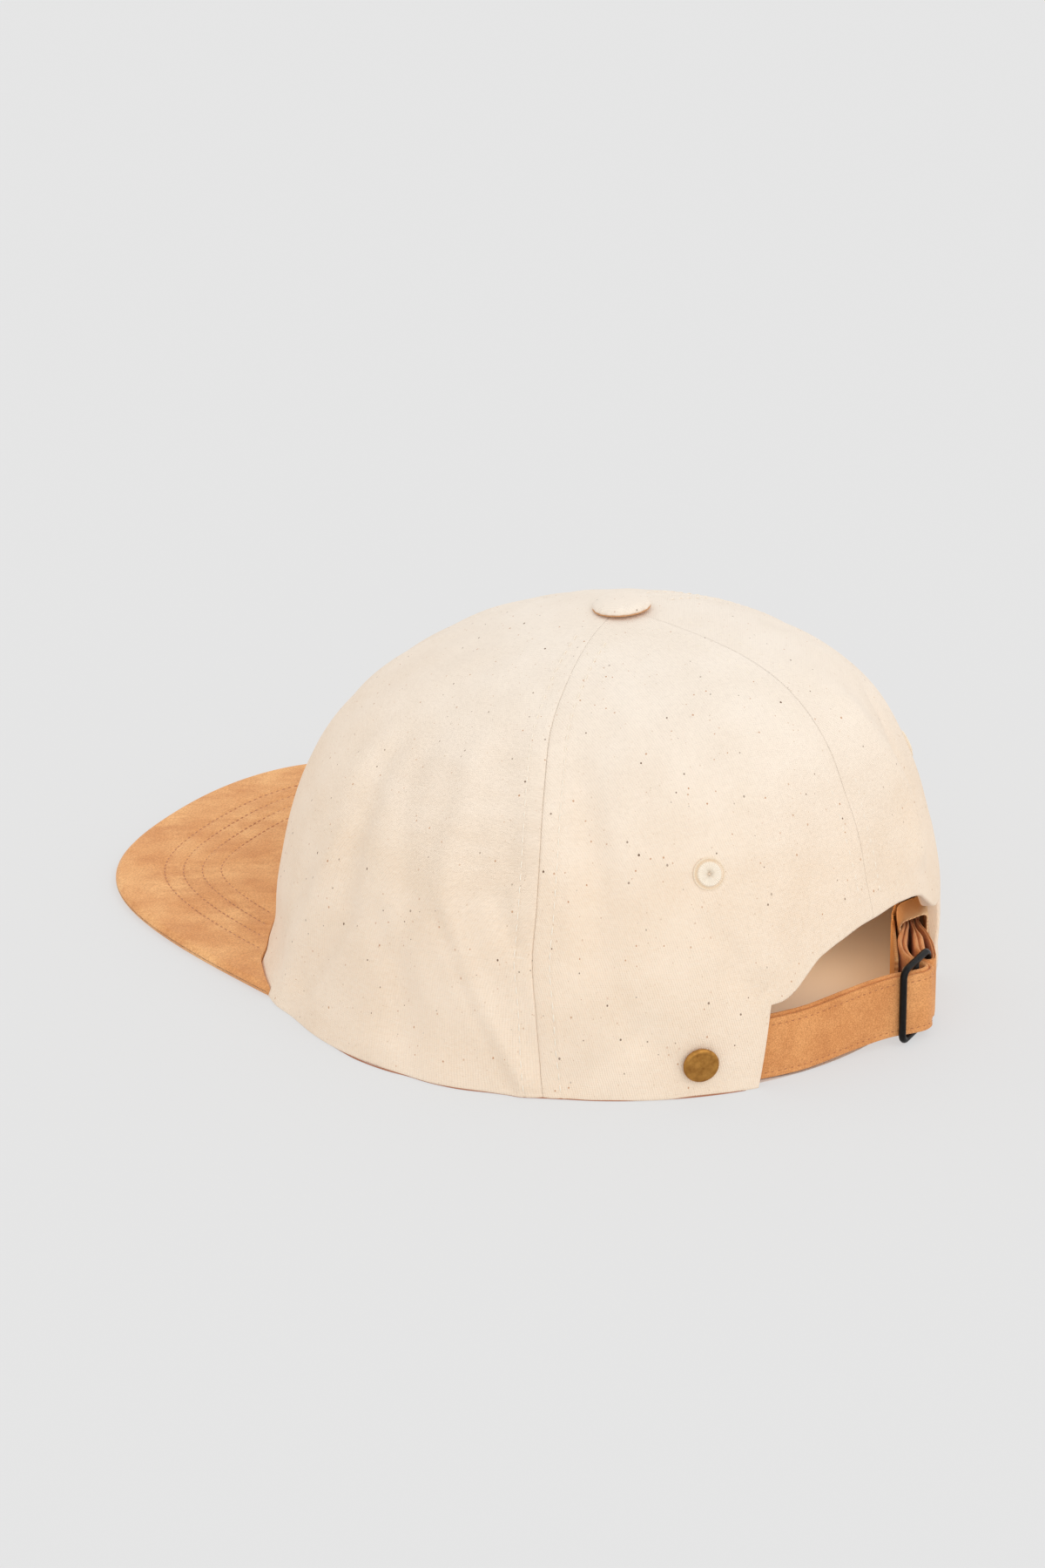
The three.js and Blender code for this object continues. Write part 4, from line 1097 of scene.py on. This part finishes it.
def make_button(material, thread):
    radius, rise, lip = BUTTON["radius"], BUTTON["rise"], BUTTON["lip"]
    rows = [[0, 0], [radius * 0.9, 0], [radius * 0.97, 0.15], [radius, lip]]
    for a in np.linspace(0, np.pi / 2, 23)[1:-1]:
        rows.append([radius * math.cos(a) ** 0.75, blend(lip, rise, math.sin(a) ** 0.9)])
    rows.append([0, rise])
    points, faces = turned(rows, segments=96)
    x, y, z = points.T
    angle, r = np.arctan2(y, x), np.hypot(x, y)
    gather = BUTTON["gather"] * np.sin(angle * BUTTON["gathers"] + 1.1 * np.sin(angle * 3))
    gather *= smoothstep(r / radius, 0.8, 1)
    x, y = x * (1 + gather / radius), y * (1 + gather / radius)
    uneven = BUTTON["uneven"] * np.sin(x / 2.1 + 0.6) * np.sin(y / 2.6)
    z = z + uneven * smoothstep(z, lip, 2)
    right, _, back = camera_axes()
    lean = Matrix.Rotation(math.radians(BUTTON["tilt"]), 3, Vector((back[0], back[1], 0)).normalized())
    lean = lean @ Matrix.Rotation(math.radians(-BUTTON["lean_back"]), 3, Vector(right))

    def placed(shape):
        return shape @ np.array(lean).T + UP * BUTTON["height"]

    cloth = np.stack([x, y * 0.9, 0 * angle + 90], 1)
    make_piece("top_button", (placed(np.stack([x, y, z], 1)), faces), material, cloth)
    # Painted shadow: a thin tan ring just under the button's edge stands for the shadow line where the
    # button sits on the crown
    shadow_ring_rows = [[0, -0.12], [radius * 0.98, -0.12], [radius, -0.04], [radius * 1.003, 0.05]]
    shadow_ring, shadow_ring_faces = turned([*shadow_ring_rows, [radius * 0.98, 0.15], [0, 0.15]], segments=96)
    make_piece("button_painted_shadow", (placed(shadow_ring), shadow_ring_faces), thread, extra=True)


def make_rivet(material):
    radius, rise, edge = RIVET["radius"], RIVET["rise"], RIVET["edge"]
    rows = [[0, -0.3], [radius * 0.97, -0.3], [radius, 0.2]]
    for a in np.linspace(0, np.pi / 2, 13)[1:]:
        rows.append([radius - edge + edge * math.cos(a), 0.2 + (rise - 0.5) * math.sin(a)])
    rows += [[radius * share, rise - below] for share, below in RIVET_TOP]
    points, faces = turned(rows, segments=80)
    placed = on_crown(points, RIVET["angle"], RIVET["height"], RIVET["lift"], RIVET["tip"])
    make_piece("rivet_cap", (placed, faces), material)


def make_eyelets(material):
    radius, rise = EYELET["radius"], EYELET["rise"]
    rows = [[0, -0.5], [radius, -0.4], [radius, 0.0]]
    for r in radius * (1 - np.arange(1, 34) / 34):
        edge = 0.1 * bell(r - radius * 0.95, 0.2) - 0.14 * bell(r - radius * 0.82, 0.2)
        satin = rise * smoothstep(radius * 0.8 - r, 0, 0.5) * smoothstep(r, 0.25, 1.6)
        rows.append([r, 0.06 + edge + satin - 0.3 * bell(r, 0.35)])
    rows.append([0, -0.3])
    points, faces = turned(rows, segments=144)
    angle, r = np.arctan2(points[:, 1], points[:, 0]), np.hypot(points[:, 0], points[:, 1])
    ring = radius * EYELET["ring"]
    spokes = 0.05 * np.sin(angle * 31 + 1.6 * np.sin(angle * 4)) * (r > 0.3) * (r < ring)
    spokes += 0.07 * np.sin(angle * 40) * (r >= ring)
    points[:, 2] += spokes * (points[:, 2] > -0.2)
    for name, at in zip(("eyelet_left", "eyelet_right"), EYELET["angles"]):
        placed = on_crown(points, at, EYELET["height"], 0.05)
        make_piece(name, (placed, faces), material, points)


# Straps, slide, loop and sweatband

def band_section(width, drop, stitch_lines, corners=7, steps=22):
    """Cross-section of a strap of two layers, 1 thick, as [offset, height]. The outer one may end lower."""
    top, bottom = [], []
    for centre, low in ((-0.27, 0), (0.27, drop)):
        for a in np.linspace(math.pi, 0, corners + 1):
            top.append([centre + 0.23 * math.cos(a), width - low - 0.9 + 0.9 * math.sin(a)])
            bottom.append([-centre - 0.23 * math.cos(a), 0.5 - 0.5 * math.sin(a)])
    outer, inner = [], []
    for share in np.arange(1, steps) / steps:
        height = 0.5 + (width - drop - 1.5) * (1 - share)
        sewn = sum(bell(height - line, 0.5) for line in stitch_lines)
        full = 0.04 * math.sin(math.pi * share)
        outer.append([0.5 - 0.09 * sewn + full, height])
        inner.append([-0.5 - full, 0.5 + (width - 1.5) * share])
    return np.array(top + outer + bottom + inner)


def sweep_upright(route, section, thickness):
    """Carries an outline of [offset, height] along a route of [x, y, lower edge] that stays upright."""
    side = beside(route) * thickness[:, None]
    plan = route[:, None, :2] + side[:, None] * section[None, :, :1]
    height = route[:, 2][:, None] + section[None, :, 1]
    return swept(np.concatenate([plan, height[..., None]], -1))


def make_strap(material, thread):
    route = even_route(smooth_route(STRAP_ROUTE, steps=400), spacing=0.6)
    lines = [STRAP_SEWN["low"], STRAP_WIDTH - STRAP_SEWN["high"]]
    free = smoothstep(route[:, 0], *STRAP_PLUMP["ease"])
    thickness = blend(STRAP_PLUMP["pinched"], STRAP_PLUMP["free"], free)
    shape = sweep_upright(route, band_section(STRAP_WIDTH, STRAP_DROP, lines), thickness)
    make_piece("strap", shape, material)
    outward = beside(route) @ np.eye(2, 3)
    shown = route[:, 0] > STRAP_SEWN["from_x"]
    rows = []
    for height in lines:
        line = route + UP * height + outward * (thickness / 2 - STRAP_SEWN["sunk"])[:, None]
        rows.append((line[shown], outward[shown]))
    stitches("strap_stitches", rows, thread, "tan_suede", **THREADS["strap"])


def make_anchor(material):
    turn_radius = WIRE / 2 + WIRE_CLEARANCE + ANCHOR_THICKNESS / 2
    start, end = ANCHOR_TURN["start"], ANCHOR_TURN["start"] - ANCHOR_TURN["sweep"]
    a = np.radians(np.linspace(start, end, ANCHOR_TURN["steps"] + 1))
    turn = SLIDE_FAR + turn_radius * np.stack([np.cos(a), np.sin(a)], 1)
    outer_leg, inner_leg = (smooth_route(leg, steps=60) for leg in (ANCHOR_OUTER_LEG, ANCHOR_INNER_LEG))
    plan = even_route(np.concatenate([outer_leg[::-1], turn, inner_leg]), spacing=0.6)
    share = smoothstep(-plan[:, 0], -SLIDE_FAR[0], -ANCHOR_LOW["tab_x"])
    low = blend(ANCHOR_LOW["at_slide"], ANCHOR_LOW["at_tab"], share)
    after_turn = np.arange(len(plan)) > np.argmax(plan[:, 0])
    begun, ended = (smoothstep(plan[:, 0], *ANCHOR_PLUMP[end]) for end in ("from", "to"))
    plump = begun * (1 - ended) * after_turn
    thickness = blend(ANCHOR_THICKNESS, ANCHOR_PLUMP["full"], plump)
    route = np.concatenate([plan, low[:, None]], 1)
    shape = sweep_upright(route, band_section(ANCHOR_WIDTH, 0, []), thickness)
    make_piece("strap_anchor", shape, material)


def make_painted_rim_shadow(material):
    """A thin dark tube just inside the foot of the front panel's rim: painted shadow, the dark contact line
    where the rim meets the floor.
    """
    angle = np.linspace(PAINTED_RIM_SHADOW["from"], PAINTED_RIM_SHADOW["to"], 160)
    foot = crown_point(angle, np.zeros(len(angle)))
    route = (foot - unit(foot * [1, 1, 0]) * PAINTED_RIM_SHADOW["inset"]) * [1, 1, 0] + UP * PAINTED_RIM_SHADOW["height"]
    side = beside(route) @ np.eye(2, 3)
    shape = round_bar(route, PAINTED_RIM_SHADOW["radius"], side, -UP, sides=8)
    make_piece("painted_rim_shadow", shape, material, extra=True)


def make_slide(material):
    """The wire frame and its middle bar, both in the upright plane through the outer bars."""
    near, far = np.array([*SLIDE_NEAR, 0.0]), np.array([*SLIDE_FAR, 0.0])
    along = unit(near - far)
    across = np.cross(UP, along)
    width = float(np.linalg.norm(near - far))
    low, high = SLIDE_BOTTOM + WIRE / 2, SLIDE_TOP - WIRE / 2
    ring = rounded_ring(0, width, low, high, SLIDE_CORNER, 8)
    route = far + along * ring[:, :1] + UP * ring[:, 1:2]
    outward = along * ring[:, 2:3] + UP * ring[:, 3:]
    frame_bar = round_bar(route, WIRE / 2, outward, across, sides=18, closed=True)
    bar = (near + far) / 2 + UP * np.linspace(low, high, 8)[:, None]
    middle_bar = round_bar(bar, WIRE / 2 * 0.96, along, across, sides=18)
    make_piece("wire_slide", joined([frame_bar, middle_bar]), material)


def make_loop(material):
    """The ribbed tape round the strap's layers, with soft corners."""
    half, reach = (LOOP["inside"] + LOOP["tape"]) / 2, LOOP["tape"] / 2
    ring = rounded_ring(-half, half, LOOP["low"] + reach, LOOP["high"] - reach, LOOP["corner"], 6)
    ring = even_route(np.vstack([ring, ring[:1]]), spacing=0.8)[:-1]
    lengths = run_lengths(np.vstack([ring, ring[:1]])[:, :2])[1:]
    width = np.linspace(-LOOP["along"] / 2, LOOP["along"] / 2, 11)
    across, forward = direction(LOOP["heading"], 0), direction(LOOP["heading"] + 90, 0)
    sides = []
    for sign in (-1, 1):
        soft = sign * (reach - 0.18 * (np.abs(width) > LOOP["along"] / 2 - 0.3))
        x, z = (ring[:, k, None] + ring[:, k + 2, None] * soft for k in (0, 1))
        forth = width + LOOP["slant"] * x
        point = across * x[..., None] + forward * forth[..., None] + UP * z[..., None]
        sides.append(point + [*LOOP["centre"], 0])
    places = np.broadcast_arrays(width[None, :], lengths[:, None], ring[:, :1])
    grain = np.stack(places, -1).reshape(-1, 3)
    shape = closed_shell(*sides, closed=True)
    make_piece("twill_loop", shape, material, np.concatenate([grain, grain]))


def make_sweatband(material):
    """The band inside the rim, with a tail at its right end that hangs free behind the tab."""
    shares = np.linspace(0, 1, 15)
    tail = even_route(smooth_route(BAND_TAIL, steps=80), spacing=1.2)
    side = -beside(tail) * BAND["thickness"] / 2
    tail_z = blend(BAND["low"], BAND["tail_high"], shares)
    start, end = BAND_RIGHT["end"] - 360, BAND_LEFT["end"]
    angle = np.linspace(start, end, BAND["columns"])
    left = smoothstep(angle, end - BAND_LEFT["ease"][1], end - BAND_LEFT["ease"][0])
    right = 1 - smoothstep(angle, start + BAND_RIGHT["ease"][0], start + BAND_RIGHT["ease"][1])
    depth = BAND["depth"] + left * BAND_LEFT["extra"] + right * BAND_RIGHT["extra"]
    high = blend(BAND["high"], BAND["tail_high"], right)
    height = blend(BAND["low"], high[:, None], shares)
    wide = np.broadcast_to(angle[:, None], height.shape)
    t = height_to_t(wide, blend(height, BAND["low"], right[:, None]))
    wall, normal = smooth_point(wide, t), normal_of(smooth_point, wide, t)
    grids = []
    for sign, extra in ((1, 0), (-1, BAND["thickness"])):
        flat = np.repeat((tail + sign * side)[:, None], len(shares), 1)
        tail_grid = np.concatenate([flat, np.broadcast_to(tail_z[:, None], (*flat.shape[:2], 1))], -1)
        point = wall - normal * (depth[:, None, None] + extra)
        point[..., 2] = height
        grids.append(np.concatenate([tail_grid, point]))
    middle, level = grids[0][:, len(shares) // 2], grids[0][..., 2]
    length = run_lengths(middle)
    grain = np.stack([np.broadcast_to(length[:, None], level.shape), level, 0 * level], -1).reshape(-1, 3)
    cloth = np.concatenate([grain, grain + [0, 0, 9]])
    piece = make_piece("sweatband", closed_shell(*grids), material, cloth)
    flat = (float(length[-1]) * MM, (BAND["high"] - BAND["low"]) * MM)


def main():
    cotton = cotton_material()
    peak_colours = [(249, 192, 132), (231, 165, 107), (214, 147, 94)]
    strap_colours = [(241, 174, 113), (227, 156, 96), (209, 138, 83)]
    peak_suede = suede_material("tan_suede", peak_colours, grain_size=0.5, grain_depth=0.4)
    strap_suede = suede_material("tan_suede_strap", strap_colours, grain_size=0.36, grain_depth=0.5)
    loop_tape = tape_material("tan_twill", (246, 200, 150), (204, 150, 100), rib_width=0.6)
    band_tape = tape_material("tan_twill_band", (230, 176, 120), (208, 150, 94), rib_width=0.95)
    cream_thread = thread_material("cotton_thread", (249, 237, 220))
    peak_thread = thread_material("tan_thread", (198, 142, 108))
    strap_thread = thread_material("tan_thread_strap", (180, 116, 76))
    make_camera()
    make_studio()
    make_panels(cotton)
    make_button(cotton, thread_material("button_shadow_colour", (212, 158, 108)))
    seam_stitches(cream_thread)
    make_peak(peak_suede, peak_thread)
    make_sweatband(band_tape)
    make_strap(strap_suede, strap_thread)
    make_anchor(strap_suede)
    make_loop(loop_tape)
    make_painted_rim_shadow(thread_material("painted_rim_shadow_colour", (178, 118, 88)))
    make_slide(wire_material())
    make_rivet(brass_material())
    make_eyelets(eyelet_material())


main()
